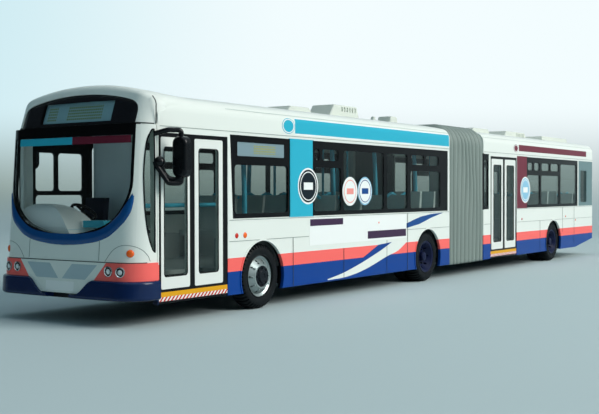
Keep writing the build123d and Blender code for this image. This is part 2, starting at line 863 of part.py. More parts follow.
screen_layer = skin(mask_glass_recess, mask_glass_thickness)
glass_top_z = windscreen_top_z - seal_top
seal_back_x = screen_back_x + panel_gap
seal_prism = across(
    windscreen_outline(-seat_gap, windscreen_top_z - seat_gap), seal_back_x, front_x + spare)
glass_prism = across(windscreen_outline(-seal_width, glass_top_z), seal_back_x, front_x + spare)
save("windscreen_seal", skin(0.0, wall) & (seal_prism - glass_prism))
pane_prism = across(
    windscreen_outline(-seal_width - seat_gap, glass_top_z - seat_gap), seal_back_x, front_x + spare)
save("windscreen", screen_layer & pane_prism)
save("destination_glass", screen_layer & across(destination_outline(-seat_gap), seal_back_x, front_x + spare))

board = rounded(
    board_offside_margin - half_width, half_width - board_nearside_margin,
    board_bottom_z, board_top_z, display_corner)
board_layer = skin(mask_glass_recess + mask_glass_thickness + 2 * seat_gap, board_thickness)
front_board = board_layer & across(board, seal_back_x, front_x + spare)
display_front_x = front_place(display_front_percent)
display_rear_x = front_place(display_rear_percent)
side_board = side_plate(
    rounded(display_rear_x + seat_gap, display_front_x - seat_gap,
            display_bottom_z + seat_gap, display_top_z - seat_gap, display_corner),
    half_width - glass_recess - glass_thickness, half_width - glass_recess)
save("destination_displays", front_board, side_board)


# Window frames, glass and doors

def pane_outline(place, pane, shrink):
    side, ahead, behind, z0, z1 = pane
    return rounded(place(behind) + shrink, place(ahead) - shrink, z0 + shrink, z1 - shrink, pane_corner)


def glaze(place, bands, panes, extra_cuts):
    """Black window frames and the clear panes that sit in them."""
    frames = []
    glass = []
    outer = half_width - frame_recess
    for band in bands:
        side = band[0]
        outline = window_band(place, band, seat_gap)
        frame = side_plate(outline, side * (outer - frame_thickness), side * outer)
        for pane in panes:
            if pane[0] == side and band[1] <= pane[1] and pane[2] <= band[2]:
                frame -= side_cut(pane_outline(place, pane, 0.0), side)
        if side == 1:
            for cut in extra_cuts:
                frame -= cut
        frames.append(frame)
    face = half_width - glass_recess
    for pane in panes:
        side = pane[0]
        glass.append(side_plate(
            pane_outline(place, pane, seat_gap), side * (face - glass_thickness), side * face))
    return frames, glass


def build_door(place, door, leaves):
    """Black door frame with its step, two leaves and their glass."""
    face = half_width - leaf_recess
    frame_face = half_width - frame_recess
    frame_back = frame_face - leaf_thickness - frame_recess
    front = place(door[0]) - seat_gap
    rear = place(door[1]) + seat_gap
    frame = block(rear, front, frame_back, frame_face, step_bottom_z, door_top_z - seat_gap)
    frame += block(
        rear + step_lap, front - step_lap, half_width - step_depth, frame_face - step_gap,
        step_bottom_z, leaf_bottom_z - step_gap)
    panels = []
    glass = []
    for ahead, behind, glass_ahead, glass_behind in leaves:
        x0 = place(behind)
        x1 = place(ahead)
        opening = rounded(x0, x1, leaf_bottom_z, leaf_top_z, leaf_corner)
        frame -= side_plate(opening, inner_half - 2 * wall, half_width + spare)
        leaf = rounded(
            x0 + seat_gap, x1 - seat_gap, leaf_bottom_z + seat_gap, leaf_top_z - seat_gap, leaf_corner)
        panel = side_plate(leaf, face - leaf_thickness, face)
        g0 = place(glass_behind)
        g1 = place(glass_ahead)
        light = rounded(g0, g1, leaf_glass_bottom_z, leaf_glass_top_z, leaf_glass_corner)
        panel -= side_plate(light, inner_half - 2 * wall, half_width + spare)
        panels.append(panel)
        pane = rounded(
            g0 + seat_gap, g1 - seat_gap,
            leaf_glass_bottom_z + seat_gap, leaf_glass_top_z - seat_gap, leaf_glass_corner)
        glass_face = face - leaf_glass_recess
        glass.append(side_plate(pane, glass_face - glass_thickness, glass_face))
    return frame, panels, glass


display_cut = side_cut(rounded(
    display_rear_x, display_front_x, display_bottom_z, display_top_z, display_corner), 1)
front_frames, front_glass = glaze(front_place, front_bands, front_panes, [display_cut])
front_door_frame, front_doors, front_door_glass = build_door(front_place, front_door, front_leaves)
save("front_window_frames", *front_frames)
save("front_glazing", *front_glass, *front_door_glass, *quarter_glass)
save("front_door_frame", front_door_frame)
save("front_doors", *front_doors)

rear_frames, rear_glass = glaze(rear_place, rear_bands, rear_panes, [])
rear_door_frame, rear_doors, rear_door_glass = build_door(rear_place, rear_door, rear_leaves)
tail_glass = across(rounded(
    -tail_window_half + seat_gap, tail_window_half - seat_gap,
    tail_window_z + seat_gap, window_top_z - seat_gap, tail_window_corner),
    rear_x + glass_recess, rear_x + glass_recess + glass_thickness)
slot_glass = []
for side in (-1, 1):
    outline = rounded(
        rear_place(slot_rear_percent) + seat_gap, rear_place(slot_front_percent) - seat_gap,
        slot_bottom_z + seat_gap, slot_top_z - seat_gap, slot_corner)
    face = half_width - glass_recess
    slot_glass.append(side_plate(outline, side * (face - glass_thickness), side * face))
save("rear_window_frames", *rear_frames)
save("rear_glazing", *rear_glass, *rear_door_glass, *slot_glass, tail_glass)
save("rear_door_frame", rear_door_frame)
save("rear_doors", *rear_doors)


# Roof fittings: ventilators and pods that sit on the crowned roof

def roof_pod(front, rear, half, rise, front_slope, rear_slope, slotted, outer):
    top = roof_z + rise
    foot = roof_z - panel_gap
    base = roof_z - 2 * spare
    profile = polygon(
        (front, foot),
        (front - front_slope, top),
        (rear + rear_slope, top),
        (rear, foot),
        (rear, base),
        (front, base),
    )
    pod = side_plate(profile, -half, half)
    upper = [edge for edge in pod.edges() if edge.bounding_box().max.Z > foot + panel_gap]
    pod = fillet(upper, min(rise / 3, pod_round))
    if slotted:
        slot_z = top - pod_round
        for index in range(pod_slot_count):
            x = rear + pod_slot_rear + index * pod_slot_pitch
            for side in (-1, 1):
                pod -= block(
                    x, x + pod_slot_width, side * (half - pod_slot_depth), side * (half + spare),
                    slot_z - pod_slot_height, slot_z)
    return pod - outer


pods = {"front": [], "rear": []}
outers = {"front": front_outer, "rear": rear_outer}
places = {"front": front_place, "rear": rear_place}
for section, ahead, behind, half, rise, front_slope, rear_slope, slotted in roof_fittings:
    place = places[section]
    pods[section].append(roof_pod(
        place(ahead), place(behind), half, rise, front_slope, rear_slope, slotted, outers[section]))
save("front_roof_pods", *pods["front"])
save("rear_roof_pods", *pods["rear"])


# Chassis and floors

def bay_inner(tyre):
    """How far out the inner face of a wheel bay stands."""
    return wheel_face_y - tyre - wheel_bay_side


def chassis_plate(plan, axles, screw_x):
    """Baseplate with wheel bays, axle bearings and one screw boss."""
    plate = extrude(plan, amount=chassis_thickness, dir=(0, 0, 1))
    for axle_x, tyre in axles:
        for side in (-1, 1):
            plate -= block(
                axle_x - wheel_bay_half, axle_x + wheel_bay_half,
                side * bay_inner(tyre), side * half_width, 0.0, chassis_top + spare)
            plate += block(
                axle_x - bearing_half, axle_x + bearing_half,
                side * (bearing_y - bearing_width / 2), side * (bearing_y + bearing_width / 2),
                chassis_z, floor_z)
        plate -= y_cylinder(
            axle_x, hub_z, axle_radius + axle_clearance, -half_width, half_width)
    boss_height = floor_z - chassis_z
    boss_place = Pos(screw_x, 0, chassis_z + boss_height / 2)
    plate += boss_place * Cylinder(screw_boss_radius, boss_height)
    plate -= boss_place * Cylinder(screw_radius, boss_height + spare)
    return plate


def door_well(place, door):
    """Room for the step box of a door, a little larger than the box on every side."""
    margin = step_lap - step_gap
    return block(
        place(door[1]) + margin, place(door[0]) - margin,
        half_width - step_depth - step_gap, half_width, 0.0, floor_top + spare)


def floor_panel(x0, x1, axles, well):
    """Saloon floor with a step well at the door and a box over each wheel."""
    side = inner_half - floor_side_gap
    panel = block(x0, x1, -side, side, floor_z, floor_top)
    panel -= well
    for axle_x, tyre in axles:
        inner = bay_inner(tyre)
        for sign in (-1, 1):
            panel += block(
                axle_x - wheel_bay_half - wheel_box_wall, axle_x + wheel_bay_half + wheel_box_wall,
                sign * (inner - wheel_box_wall), sign * side,
                floor_z, wheel_box_top_z)
            panel -= block(
                axle_x - wheel_bay_half, axle_x + wheel_bay_half,
                sign * inner, sign * (half_width + spare), floor_z - spare, wheel_bay_top_z)
    return panel


front_axle_table = [(front_axle_x, tyre_width), (middle_axle_x, twin_tyre_width)]
rear_axle_table = [(rear_axle_x, twin_tyre_width)]
front_well = door_well(front_place, front_door)
rear_well = door_well(rear_place, rear_door)

front_plate_x = front_end_x + end_wall + chassis_gap
front_plan = plan_outline(wall + chassis_gap, front_plate_x, chassis_z, nose_tip_x(chassis_z))
front_chassis = chassis_plate(front_plan, front_axle_table, front_place(front_screw_percent)) - front_well
rear_half = inner_half - chassis_gap
rear_plan = Pos(0, 0, chassis_z) * rounded(
    tail_skirt_x, rear_start_x - end_wall - chassis_gap, -rear_half, rear_half, chassis_gap)
rear_chassis = chassis_plate(rear_plan, rear_axle_table, rear_place(rear_screw_percent)) - rear_well
save("front_chassis", front_chassis)
save("rear_chassis", rear_chassis)

# Articulation: the front chassis carries the eye, the rear chassis the link with its pin
eye_low_z = coupling_z - coupling_thickness
eye = Pos(pivot_x, 0, (eye_low_z + coupling_z) / 2) * Cylinder(pivot_eye_radius, coupling_thickness)
eye += block(pivot_x, front_plate_x, -tongue_half, tongue_half, eye_low_z, coupling_z)
eye -= Pos(pivot_x, 0, coupling_z) * Cylinder(pivot_pin_radius + pivot_clearance, 4 * coupling_thickness)
save("coupling_eye", eye)

link_z = coupling_z + coupling_gap
pin_low_z = eye_low_z - coupling_gap
link = Pos(pivot_x, 0, link_z + coupling_thickness / 2) * Cylinder(pivot_eye_radius, coupling_thickness)
link += block(
    rear_start_x - link_reach, pivot_x, -tongue_half, tongue_half, link_z, link_z + coupling_thickness)
link += Pos(pivot_x, 0, (link_z + pin_low_z) / 2) * Cylinder(pivot_pin_radius, link_z - pin_low_z)
link += Pos(pivot_x, 0, pin_low_z - pin_head_height / 2) * Cylinder(pin_head_radius, pin_head_height)
save("coupling_link", link - rear_chassis)

floor_gap = chassis_gap - panel_gap
save("front_floor", floor_panel(
    front_end_x + end_wall + floor_gap, mask_x - floor_front_gap, front_axle_table, front_well))
save("rear_floor", floor_panel(
    rear_x + wall + floor_tail_gap, rear_start_x - end_wall - floor_gap, rear_axle_table, rear_well))


# Seats and poles

def seat(x_rear, y0, y1, foot_z, cushion_z):
    """A double seat facing forward: a bent slab with a split back, on a pedestal or a box."""
    top = cushion_z + seat_cushion
    head = top + seat_back_height
    outline = [
        (x_rear, head),
        (x_rear + seat_back * 0.8, head),
        (x_rear + seat_back + seat_lean, top),
        (x_rear + seat_depth + seat_back, top),
        (x_rear + seat_depth + seat_back, cushion_z),
    ]
    if foot_z < cushion_z:
        outline += [
            (x_rear + seat_back + seat_foot, cushion_z),
            (x_rear + seat_back + seat_foot, foot_z),
            (x_rear + seat_back + seat_foot / 3, foot_z),
            (x_rear + seat_back + seat_foot / 3, cushion_z),
        ]
    outline.append((x_rear + seat_lean, cushion_z))
    made = side_plate(polygon(*outline), y0, y1)
    middle = (y0 + y1) / 2
    made -= block(
        x_rear - spare, x_rear + seat_depth, middle - seat_split / 2, middle + seat_split / 2,
        head - seat_split_depth, head + spare)
    return made


def seat_row(low_x, high_x):
    """Rear faces of as many seats as fit between two places, evenly spaced."""
    count = int((high_x - low_x) / seat_pitch)
    spacing = (high_x - low_x) / count
    return [low_x + index * spacing for index in range(count)]


seat_outer = inner_half - seat_side_gap
box_half = wheel_bay_half + wheel_box_wall + seat_room


def floor_seats(side, low_x, high_x):
    return [
        seat(x, side * (seat_outer - seat_width), side * seat_outer, floor_top, floor_top + seat_base_height)
        for x in seat_row(low_x, high_x)]


def box_seats(side, axle_x):
    return [
        seat(x, side * (seat_outer - box_seat_width), side * seat_outer, wheel_box_top_z, wheel_box_top_z)
        for x in (axle_x + box_seat_ahead, axle_x - box_seat_behind)]


front_seats = []
rear_seats = []
rear_front_limits = {1: rear_place(rear_door[1]), -1: rear_start_x - end_wall - seat_room}
tail_limit = rear_x + wall + floor_tail_gap + seat_room
for side in (1, -1):
    front_seats += floor_seats(side, middle_axle_x + box_half, front_axle_x - box_half)
    front_seats += box_seats(side, middle_axle_x)
    rear_seats += floor_seats(side, rear_axle_x + box_half, rear_front_limits[side])
    rear_seats += floor_seats(side, tail_limit, rear_axle_x - box_half)
    rear_seats += box_seats(side, rear_axle_x)
save("front_seats", *front_seats)
save("rear_seats", *rear_seats)

pole_y = seat_outer - seat_width - pole_gap


def poles(place, percents, rail_percents):
    """Upright poles at both sides of the aisle, joined by a rail under the roof."""
    made = []
    front = place(rail_percents[0])
    rear = place(rail_percents[1])
    height = rail_z - floor_top
    for side in (-1, 1):
        rail = Pos((front + rear) / 2, side * pole_y, rail_z) * Rot(0, 90, 0) * Cylinder(
            pole_radius, front - rear)
        for percent in percents:
            rail += Pos(place(percent), side * pole_y, floor_top + height / 2) * Cylinder(
                pole_radius, height)
        made.append(rail)
    return made


save("front_poles", *poles(front_place, front_pole_percents, front_rail_percents))
save("rear_poles", *poles(rear_place, rear_pole_percents, rear_rail_percents))


# Wheels

def wheel_ring(profile, y_out, side):
    """Revolves a profile, given as radius and depth from the outer face, about the axle."""
    points = [(radius, side * (y_out - depth)) for radius, depth in profile]
    return revolve(make_face(Wire(Polyline(*points, points[0]).edges())), axis=Axis.Y)


def tyre_profile(width):
    bore = rim_radius + seat_gap
    return [
        (bore, 0.0),
        (tyre_radius - tyre_wall_round, 0.0),
        (tyre_radius, tyre_shoulder),
        (tyre_radius, width),
        (bore, width),
    ]


def twin_tyre_profile(width):
    """Two tyres side by side, plain, with an outer wall that leans in to the tread."""
    bore = rim_radius + seat_gap
    return [
        (bore, 0.0),
        (tyre_radius, tyre_shoulder),
        (tyre_radius, width),
        (bore, width),
    ]


def hub_profile(width):
    """Front rim: a cone that rises outward from a valley to a hub with a recessed cup."""
    bore = axle_radius + seat_gap
    back = width - rim_lip_depth / 2
    return [
        (bore, hub_cup_depth),
        (hub_cup_radius, hub_cup_depth),
        (hub_cup_radius, -hub_stand),
        (hub_cup_radius + hub_rim_width, -hub_stand),
        (valley_radius, valley_depth),
        (rim_radius, rim_lip_depth),
        (rim_radius, back),
        (valley_radius - hub_rim_width, back),
        (hub_cup_radius + hub_rim_width, rim_web),
        (bore, rim_web),
    ]


def dish_profile(width):
    """Twin rim: a deep dish with a boss at its middle."""
    bore = axle_radius + seat_gap
    back = width - rim_lip_depth / 2
    return [
        (bore, dish_depth - boss_height),
        (boss_radius, dish_depth - boss_height),
        (boss_radius, dish_depth),
        (dish_flat_radius, dish_depth),
        (valley_radius, rim_lip_depth / 2),
        (rim_radius, rim_lip_depth / 4),
        (rim_radius, back),
        (valley_radius - hub_rim_width, back),
        (dish_flat_radius + hub_rim_width, dish_depth + boss_height),
        (bore, dish_depth + boss_height),
    ]


def build_axle(name, axle_x, tyre, tyre_section, profile, pin_depth, vents):
    """Axle pin, rims and tyres of one axle: one turning body."""
    place = Pos(axle_x, 0, hub_z)
    pin_half = wheel_face_y - pin_depth + hub_cup_depth / 2
    save(f"{name}_axle_pin", y_cylinder(axle_x, hub_z, axle_radius, -pin_half, pin_half))
    count, circle, radius = vents
    rims = []
    tyres = []
    for side in (-1, 1):
        rim = wheel_ring(profile(tyre), wheel_face_y, side)
        for index in range(count):
            angle = 2 * math.pi * index / count
            rim -= y_cylinder(
                circle * math.cos(angle), circle * math.sin(angle), radius,
                side * (wheel_face_y - tyre), side * (wheel_face_y + spare))
        rims.append(place * rim)
        tyres.append(place * wheel_ring(tyre_section(tyre), wheel_face_y, side))
    save(f"{name}_rims", *rims)
    save(f"{name}_tyres", *tyres)


hub_vents = (vent_count, vent_circle, vent_radius)
dish_vents = (dish_vent_count, dish_vent_circle, dish_vent_radius)
boss_depth = dish_depth - boss_height
build_axle("front", front_axle_x, tyre_width, tyre_profile, hub_profile, hub_cup_depth, hub_vents)
for name, axle_x in (("middle", middle_axle_x), ("rear", rear_axle_x)):
    build_axle(name, axle_x, twin_tyre_width, twin_tyre_profile, dish_profile, boss_depth, dish_vents)


# Bellows

def bellows_outline(x, inset):
    half = half_width - inset
    low = bellows_bottom_z + inset
    top = bellows_top_z - inset
    r = bellows_shoulder
    short = r * (1.0 - math.sqrt(0.5))
    edges = [
        Line((-half, top - r), (-half, low)),
        Line((-half, low), (half, low)),
        Line((half, low), (half, top - r)),
        ThreePointArc((half, top - r), (half - short, top - short), (half - r, top)),
        Line((half - r, top), (r - half, top)),
        ThreePointArc((r - half, top), (short - half, top - short), (-half, top - r)),
    ]
    plane = Plane(origin=(x, 0, 0), x_dir=(0, 1, 0), z_dir=(1, 0, 0))
    return plane * make_face(Wire(edges))


def bellows_skin_form(inset):
    """A pleated tube: outlines that alternate between ridge and valley."""
    start = rear_start_x + bellows_gap
    end = front_end_x - bellows_gap
    steps = 2 * pleats
    sections = []
    for index in range(steps + 1):
        x = start + (end - start) * index / steps
        depth = pleat_depth if index % 2 == 0 else 0.0
        sections.append(bellows_outline(x, inset + depth))
    return loft(sections, ruled=True)


bellows = bellows_skin_form(bellows_inset) - bellows_skin_form(bellows_inset + bellows_skin)
bellows -= block(
    rear_start_x - spare, front_end_x + spare, -bellows_open_half, bellows_open_half,
    0.0, bellows_open_z)
save("bellows", bellows)


# Mirrors

def mirror(sizes):
    """Rounded mirror head on a looped arm from the corner of the mask."""
    side = sizes["side"]
    head_x = mask_x - sizes["back"]
    head_y = side * (half_width + sizes["reach"])
    root_x = mask_x + sizes["root"]
    root_y = side * (half_width - mirror_sink)
    low = sizes["low"]
    high = sizes["high"]
    half = mirror_head_depth / 2
    head = block(
        head_x - half, head_x + half, head_y - sizes["width"] / 2, head_y + sizes["width"] / 2, low, high)
    head = fillet(head.edges().filter_by(Axis.X), mirror_head_round)
    head = fillet(head.faces().sort_by(Axis.X)[-1].edges(), mirror_face_round)
    arms = []
    for root_z, turn_z, head_z in (
            (sizes["root_high"], sizes["arm_high"], high - mirror_bend),
            (sizes["root_low"], sizes["arm_low"], low + mirror_bend)):
        near_y = root_y + (head_y - root_y) * 0.65
        near_x = root_x + (head_x - root_x) * 0.35
        path = FilletPolyline(
            (root_x, root_y, root_z), (near_x, near_y, turn_z), (head_x, head_y, turn_z),
            (head_x, head_y, head_z), radius=mirror_bend)
        arms.append(sweep(Plane(path @ 0, z_dir=path % 0) * Circle(mirror_arm_radius), path=path))
    return (head + arms[0] + arms[1]) - front_outer


save("mirrors", mirror(near_mirror), mirror(off_mirror))


# Driver's cab: cowl and tray, steering wheel, seat, partition

def hump(start, end, curve):
    """Outline of a hump on the floor; its curve is given in shares of the hump's width and height."""
    points = [(start + (end - start) * share, floor_top + cowl_height * rise) for share, rise in curve]
    foot = [(end, floor_top), (start, floor_top)]
    return make_face(Wire([
        Spline(*points), Line(points[-1], foot[0]), Line(foot[0], foot[1]), Line(foot[1], points[0])]))


cowl_front_x = mask_x + cowl_front
cowl_back_x = mask_x - cowl_back
cowl_wall_y = cab_side_gap - inner_half
cowl = side_plate(hump(cowl_back_x, cowl_front_x, cowl_side_curve), cowl_wall_y, -cab_aisle_y)
cowl &= across(hump(cowl_wall_y, -cab_aisle_y, cowl_front_curve), cowl_back_x - spare, cowl_front_x + spare)
tray = block(
    mask_x - tray_back, mask_x - tray_back + tray_depth,
    -cab_aisle_y - spare, -cab_aisle_y + tray_width, tray_z, tray_z + tray_height)
dashboard = cowl + tray
save("dashboard", dashboard)

wheel_place = Pos(mask_x - steering_back, -steering_y, steering_z) * Rot(0, steering_tilt, 0)
steering = wheel_place * Torus(wheel_rim_radius, wheel_rim_section)
steering += wheel_place * Box(2 * wheel_rim_radius, spoke_width, spoke_thickness)
steering += wheel_place * Pos(0, 0, -column_length / 2) * Cylinder(column_radius, column_length)
save("steering_wheel", steering - dashboard)

driver_x = mask_x - driver_back
driver_head_z = driver_seat_z + driver_back_height
driver_front_x = driver_x + driver_depth
driver_profile = polygon(
    (driver_x, driver_head_z),
    (driver_x + driver_back_thickness, driver_head_z),
    (driver_x + driver_back_thickness + driver_lean, driver_seat_z + driver_cushion),
    (driver_front_x, driver_seat_z + driver_cushion),
    (driver_front_x, driver_seat_z),
    (driver_x + driver_back_thickness + driver_post, driver_seat_z),
    (driver_x + driver_back_thickness + driver_post, floor_top),
    (driver_x + driver_back_thickness, floor_top),
    (driver_x + driver_back_thickness, driver_seat_z),
    (driver_x + driver_lean, driver_seat_z),
)
save("driver_seat", side_plate(driver_profile, -driver_y - driver_half, -driver_y + driver_half))

partition_x = front_place(partition_percent)
partition = block(
    partition_x - partition_thickness, partition_x, chassis_gap - inner_half, -cab_wall_y,
    floor_top, floor_top + partition_height)
cab_door = block(
    partition_x, front_place(cab_door_front_percent), -cab_wall_y - partition_thickness, -cab_wall_y,
    floor_top, floor_top + cab_door_height)
save("driver_partition", partition + cab_door)
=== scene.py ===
"""The small die-cast articulated bus, dressed: enamel livery, glazing, bellows, tyres, prints and studio."""

import math

import bmesh
import bpy
import numpy as np
from mathutils import Matrix, Vector


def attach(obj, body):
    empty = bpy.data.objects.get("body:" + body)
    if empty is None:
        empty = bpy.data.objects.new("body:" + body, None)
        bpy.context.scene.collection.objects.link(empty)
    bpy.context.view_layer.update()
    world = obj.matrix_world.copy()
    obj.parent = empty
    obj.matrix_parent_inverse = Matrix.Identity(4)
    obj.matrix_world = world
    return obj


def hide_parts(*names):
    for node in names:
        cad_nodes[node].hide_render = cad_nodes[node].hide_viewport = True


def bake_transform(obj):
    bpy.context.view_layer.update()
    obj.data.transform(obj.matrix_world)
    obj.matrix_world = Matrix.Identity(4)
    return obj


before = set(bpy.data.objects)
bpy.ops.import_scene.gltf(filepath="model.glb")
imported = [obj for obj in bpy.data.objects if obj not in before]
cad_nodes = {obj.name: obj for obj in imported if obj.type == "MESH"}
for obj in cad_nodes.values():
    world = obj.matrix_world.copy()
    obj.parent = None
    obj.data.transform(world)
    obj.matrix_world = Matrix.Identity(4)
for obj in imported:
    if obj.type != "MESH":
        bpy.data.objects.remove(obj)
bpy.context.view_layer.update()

# The bodies of the two sections, and the sides of the bus
FRONT = "front_section"
REAR = "rear_section"
NEARSIDE = 1
SIDES = ((NEARSIDE, "near"), (-NEARSIDE, "off"))

# Sizes in millimetres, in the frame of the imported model
MM = 0.001
FRONT_X = 116.9
REAR_X = -116.9
HALF_WIDTH = 16.45
WAIST_Z = 17.2
WINDOW_TOP_Z = 32.4
ROOF_Z = 39.8
CANT_START_Z = 35.5
CANT_RADIUS = 2.7
CROWN_RADIUS = 62.0
MASK_X = 110.1
FRONT_END_X = 0.4
REAR_START_X = -20.8
BLUE_TOP_Z = 7.65
CORAL_TOP_Z = 10.1
ARCH_REACH = 8.0
ARCH_TOP_Z = 14.2
PRINT_LIFT = 0.015
PRINT_THICKNESS = 0.02

# The nose in plan, its rake, and the dome above its ledge
BOW_RADIUS = 250.0
BOW_HALF = HALF_WIDTH - 3.75
SHOULDER_RADIUS = 3.9
SHOULDER_ANGLE = math.radians(45.0)
BUMPER_SWELL = 0.85
APRON_SWELL = 0.3
APRON_TOP_Z = 10.5
NOSE_FOOT_Z = 5.0
FRONT_RAKE = 2.6
LEDGE_Z = 33.1
LEDGE_DEPTH = 1.0
DOME_SLOPE = 0.34

AXLES = {"front": 80.9, "middle": 12.5, "rear": -75.4}
HUB_Z = 6.15
TYRE_RADIUS = 6.15
RIM_RADIUS = 3.85
WHEEL_FACE_Y = 16.0
TYRE_WIDTH = 3.5
TWIN_TYRE_WIDTH = 7.2

# Places along the bus were read as distances back from this X
DATUM_X = 117.7


def along(back):
    """X of a place given by its distance back from the datum."""
    return DATUM_X - back


# Materials

# Paint and plastic mirror less than bare resin, so deep colours stay deep
SPECULAR_LEVEL = 0.15
METAL_SPECULAR_LEVEL = 0.5


def linear(hex_value):
    """sRGB hex to linear light: c / 12.92 up to 0.04045, else ((c + 0.055) / 1.055) to the power 2.4."""
    levels = [int(hex_value[i:i + 2], 16) / 255 for i in (0, 2, 4)]
    light = [c / 12.92 if c <= 0.04045 else ((c + 0.055) / 1.055) ** 2.4 for c in levels]
    return (*light, 1.0)


def add(tree, kind, sockets=None, **settings):
    """Adds a node; its sockets take another node's output, a hex colour or a plain value."""
    made = tree.nodes.new(kind)
    for field, value in settings.items():
        setattr(made, field, value)
    for socket, value in (sockets or {}).items():
        if isinstance(value, bpy.types.NodeSocket):
            tree.links.new(value, made.inputs[socket])
        else:
            made.inputs[socket].default_value = linear(value) if isinstance(value, str) else value
    return made


def maths(operation, first, second=0.0, third=0.0):
    """The output of one Math node, in the tree of its first input."""
    sockets = {0: first, 1: second, 2: third}
    return add(first.id_data, "ShaderNodeMath", sockets, operation=operation).outputs[0]


def ramp(value, low, high, start=0.0, end=1.0, kind="SMOOTHSTEP"):
    """Goes from start to end while a value goes from low to high."""
    sockets = {"Value": value, "From Min": low, "From Max": high, "To Min": start, "To Max": end}
    return add(value.id_data, "ShaderNodeMapRange", sockets, interpolation_type=kind).outputs[0]


def place_axes(tree):
    """X, Y and Z of the surface in millimetres."""
    where = add(tree, "ShaderNodeTexCoord").outputs["Object"]
    scaled = add(tree, "ShaderNodeVectorMath", {0: where, "Scale": 1 / MM}, operation="SCALE")
    split = add(tree, "ShaderNodeSeparateXYZ", {0: scaled.outputs[0]})
    return split.outputs[0], split.outputs[1], split.outputs[2]


def both(*masks):
    """The product of masks: 1 only where all are 1."""
    product = masks[0]
    for mask in masks[1:]:
        product = maths("MULTIPLY", product, mask)
    return product


def inside(value, low, high):
    """1 where a value lies between two limits, else 0."""
    return both(maths("GREATER_THAN", value, low), maths("LESS_THAN", value, high))


def over(under, paint, mask):
    """Lays one paint over another where the mask is 1."""
    sockets = {"Factor": mask, "A": under, "B": paint}
    return add(mask.id_data, "ShaderNodeMix", sockets, data_type="RGBA").outputs["Result"]


def over_shader(under, top, share):
    """Lays one shader over another by a share from 0 to 1."""
    sockets = {0: share, 1: under.outputs[0], 2: top.outputs[0]}
    return add(share.id_data, "ShaderNodeMixShader", sockets)


def principled(tree, hex_value, roughness, metallic=0.0, coat=0.0):
    """A Principled shader of one colour."""
    return add(tree, "ShaderNodeBsdfPrincipled", {
        "Base Color": hex_value, "Roughness": roughness, "Metallic": metallic, "Coat Weight": coat,
        "Specular IOR Level": METAL_SPECULAR_LEVEL if metallic else SPECULAR_LEVEL})


def bare_material(name):
    """A material with an empty node tree."""
    made = bpy.data.materials.new(name)
    made.use_nodes = True
    made.node_tree.nodes.clear()
    return made, made.node_tree


def show(shader):
    """Makes a shader the surface of its material."""
    add(shader.id_data, "ShaderNodeOutputMaterial", {"Surface": shader.outputs[0]})


def material(name, hex_value, roughness, **levels):
    """A material with a plain Principled shader, ready for its pattern nodes."""
    made, tree = bare_material(name)
    shader = principled(tree, hex_value, roughness, **levels)
    show(shader)
    return made, tree, shader


def waves(tree, size_mm, detail=1.0):
    """A noise whose waves are size_mm long."""
    where = add(tree, "ShaderNodeTexCoord").outputs["Object"]
    noise = add(tree, "ShaderNodeTexNoise", {"Vector": where, "Scale": 1 / (size_mm * MM), "Detail": detail})
    return noise.outputs[0]


def dress(tree, shader, grain, gloss=None, colour=None):
    """Gives a shader a grain (wave and height in mm, detail), a gloss (patch in mm, low, high), a colour."""
    wave, height, *detail = grain
    bump = add(tree, "ShaderNodeBump", {
        "Height": waves(tree, wave, *detail), "Strength": 1.0, "Distance": height * MM})
    tree.links.new(bump.outputs[0], shader.inputs["Normal"])
    if gloss is not None:
        patch, low, high = gloss
        level = ramp(waves(tree, patch, 3.0), 0.3, 0.7, low, high, "LINEAR")
        tree.links.new(level, shader.inputs["Roughness"])
    if colour is not None:
        tree.links.new(colour, shader.inputs["Base Color"])


def plain(name, hex_value, roughness, grain, gloss=None, **levels):
    """A finish of one colour with its grain and gloss."""
    made, tree, shader = material(name, hex_value, roughness, **levels)
    dress(tree, shader, grain, gloss)
    return made


WHITE = "e6ebe5"
CORAL = "fc6c66"
BLUE = "033e8e"
TEAL = "2eafca"
MAROON = "6e2436"
EDGE_BLACK = "0b0d10"
LAMP_ORANGE = "f4661d"

# Grains that several finishes share
ENAMEL_GRAIN = (2.5, 0.0012)
INK_GRAIN = (2.5, 0.001)
MOULDED_GRAIN = (0.8, 0.002)
WHEEL_GRAIN = (0.8, 0.0015)
LAMP_GRAIN = (0.8, 0.0005)

# Sprayed gloss enamel on zinc: off-white with pad-printed stripes and faint orange peel
shell_paint, tree, shader = material("gloss enamel on zinc shell", WHITE, 0.3, coat=0.05)
x, y, z = place_axes(tree)
near_side = maths("GREATER_THAN", y, 0.0)
beside_windows = inside(z, WAIST_Z - 0.1, WINDOW_TOP_Z + 0.1)
on_flank = maths("GREATER_THAN", maths("ABSOLUTE", y), HALF_WIDTH - 0.5)
outer_skin = maths("MAXIMUM", on_flank, maths("LESS_THAN", x, REAR_X + 0.8))
inner_skin = maths("LESS_THAN", outer_skin, 0.5)
colour = over(WHITE, CORAL, both(outer_skin, inside(z, BLUE_TOP_Z, CORAL_TOP_Z)))
colour = over(colour, BLUE, both(outer_skin, inside(z, 0.0, BLUE_TOP_Z)))
# Painted shade: the shell's inner faces round each wheel arch are painted near black, where the arch lies in
# shade
for axle_x in AXLES.values():
    arch = both(inner_skin, inside(x, axle_x - ARCH_REACH, axle_x + ARCH_REACH), inside(z, 0.0, ARCH_TOP_Z))
    colour = over(colour, "10151a", arch)
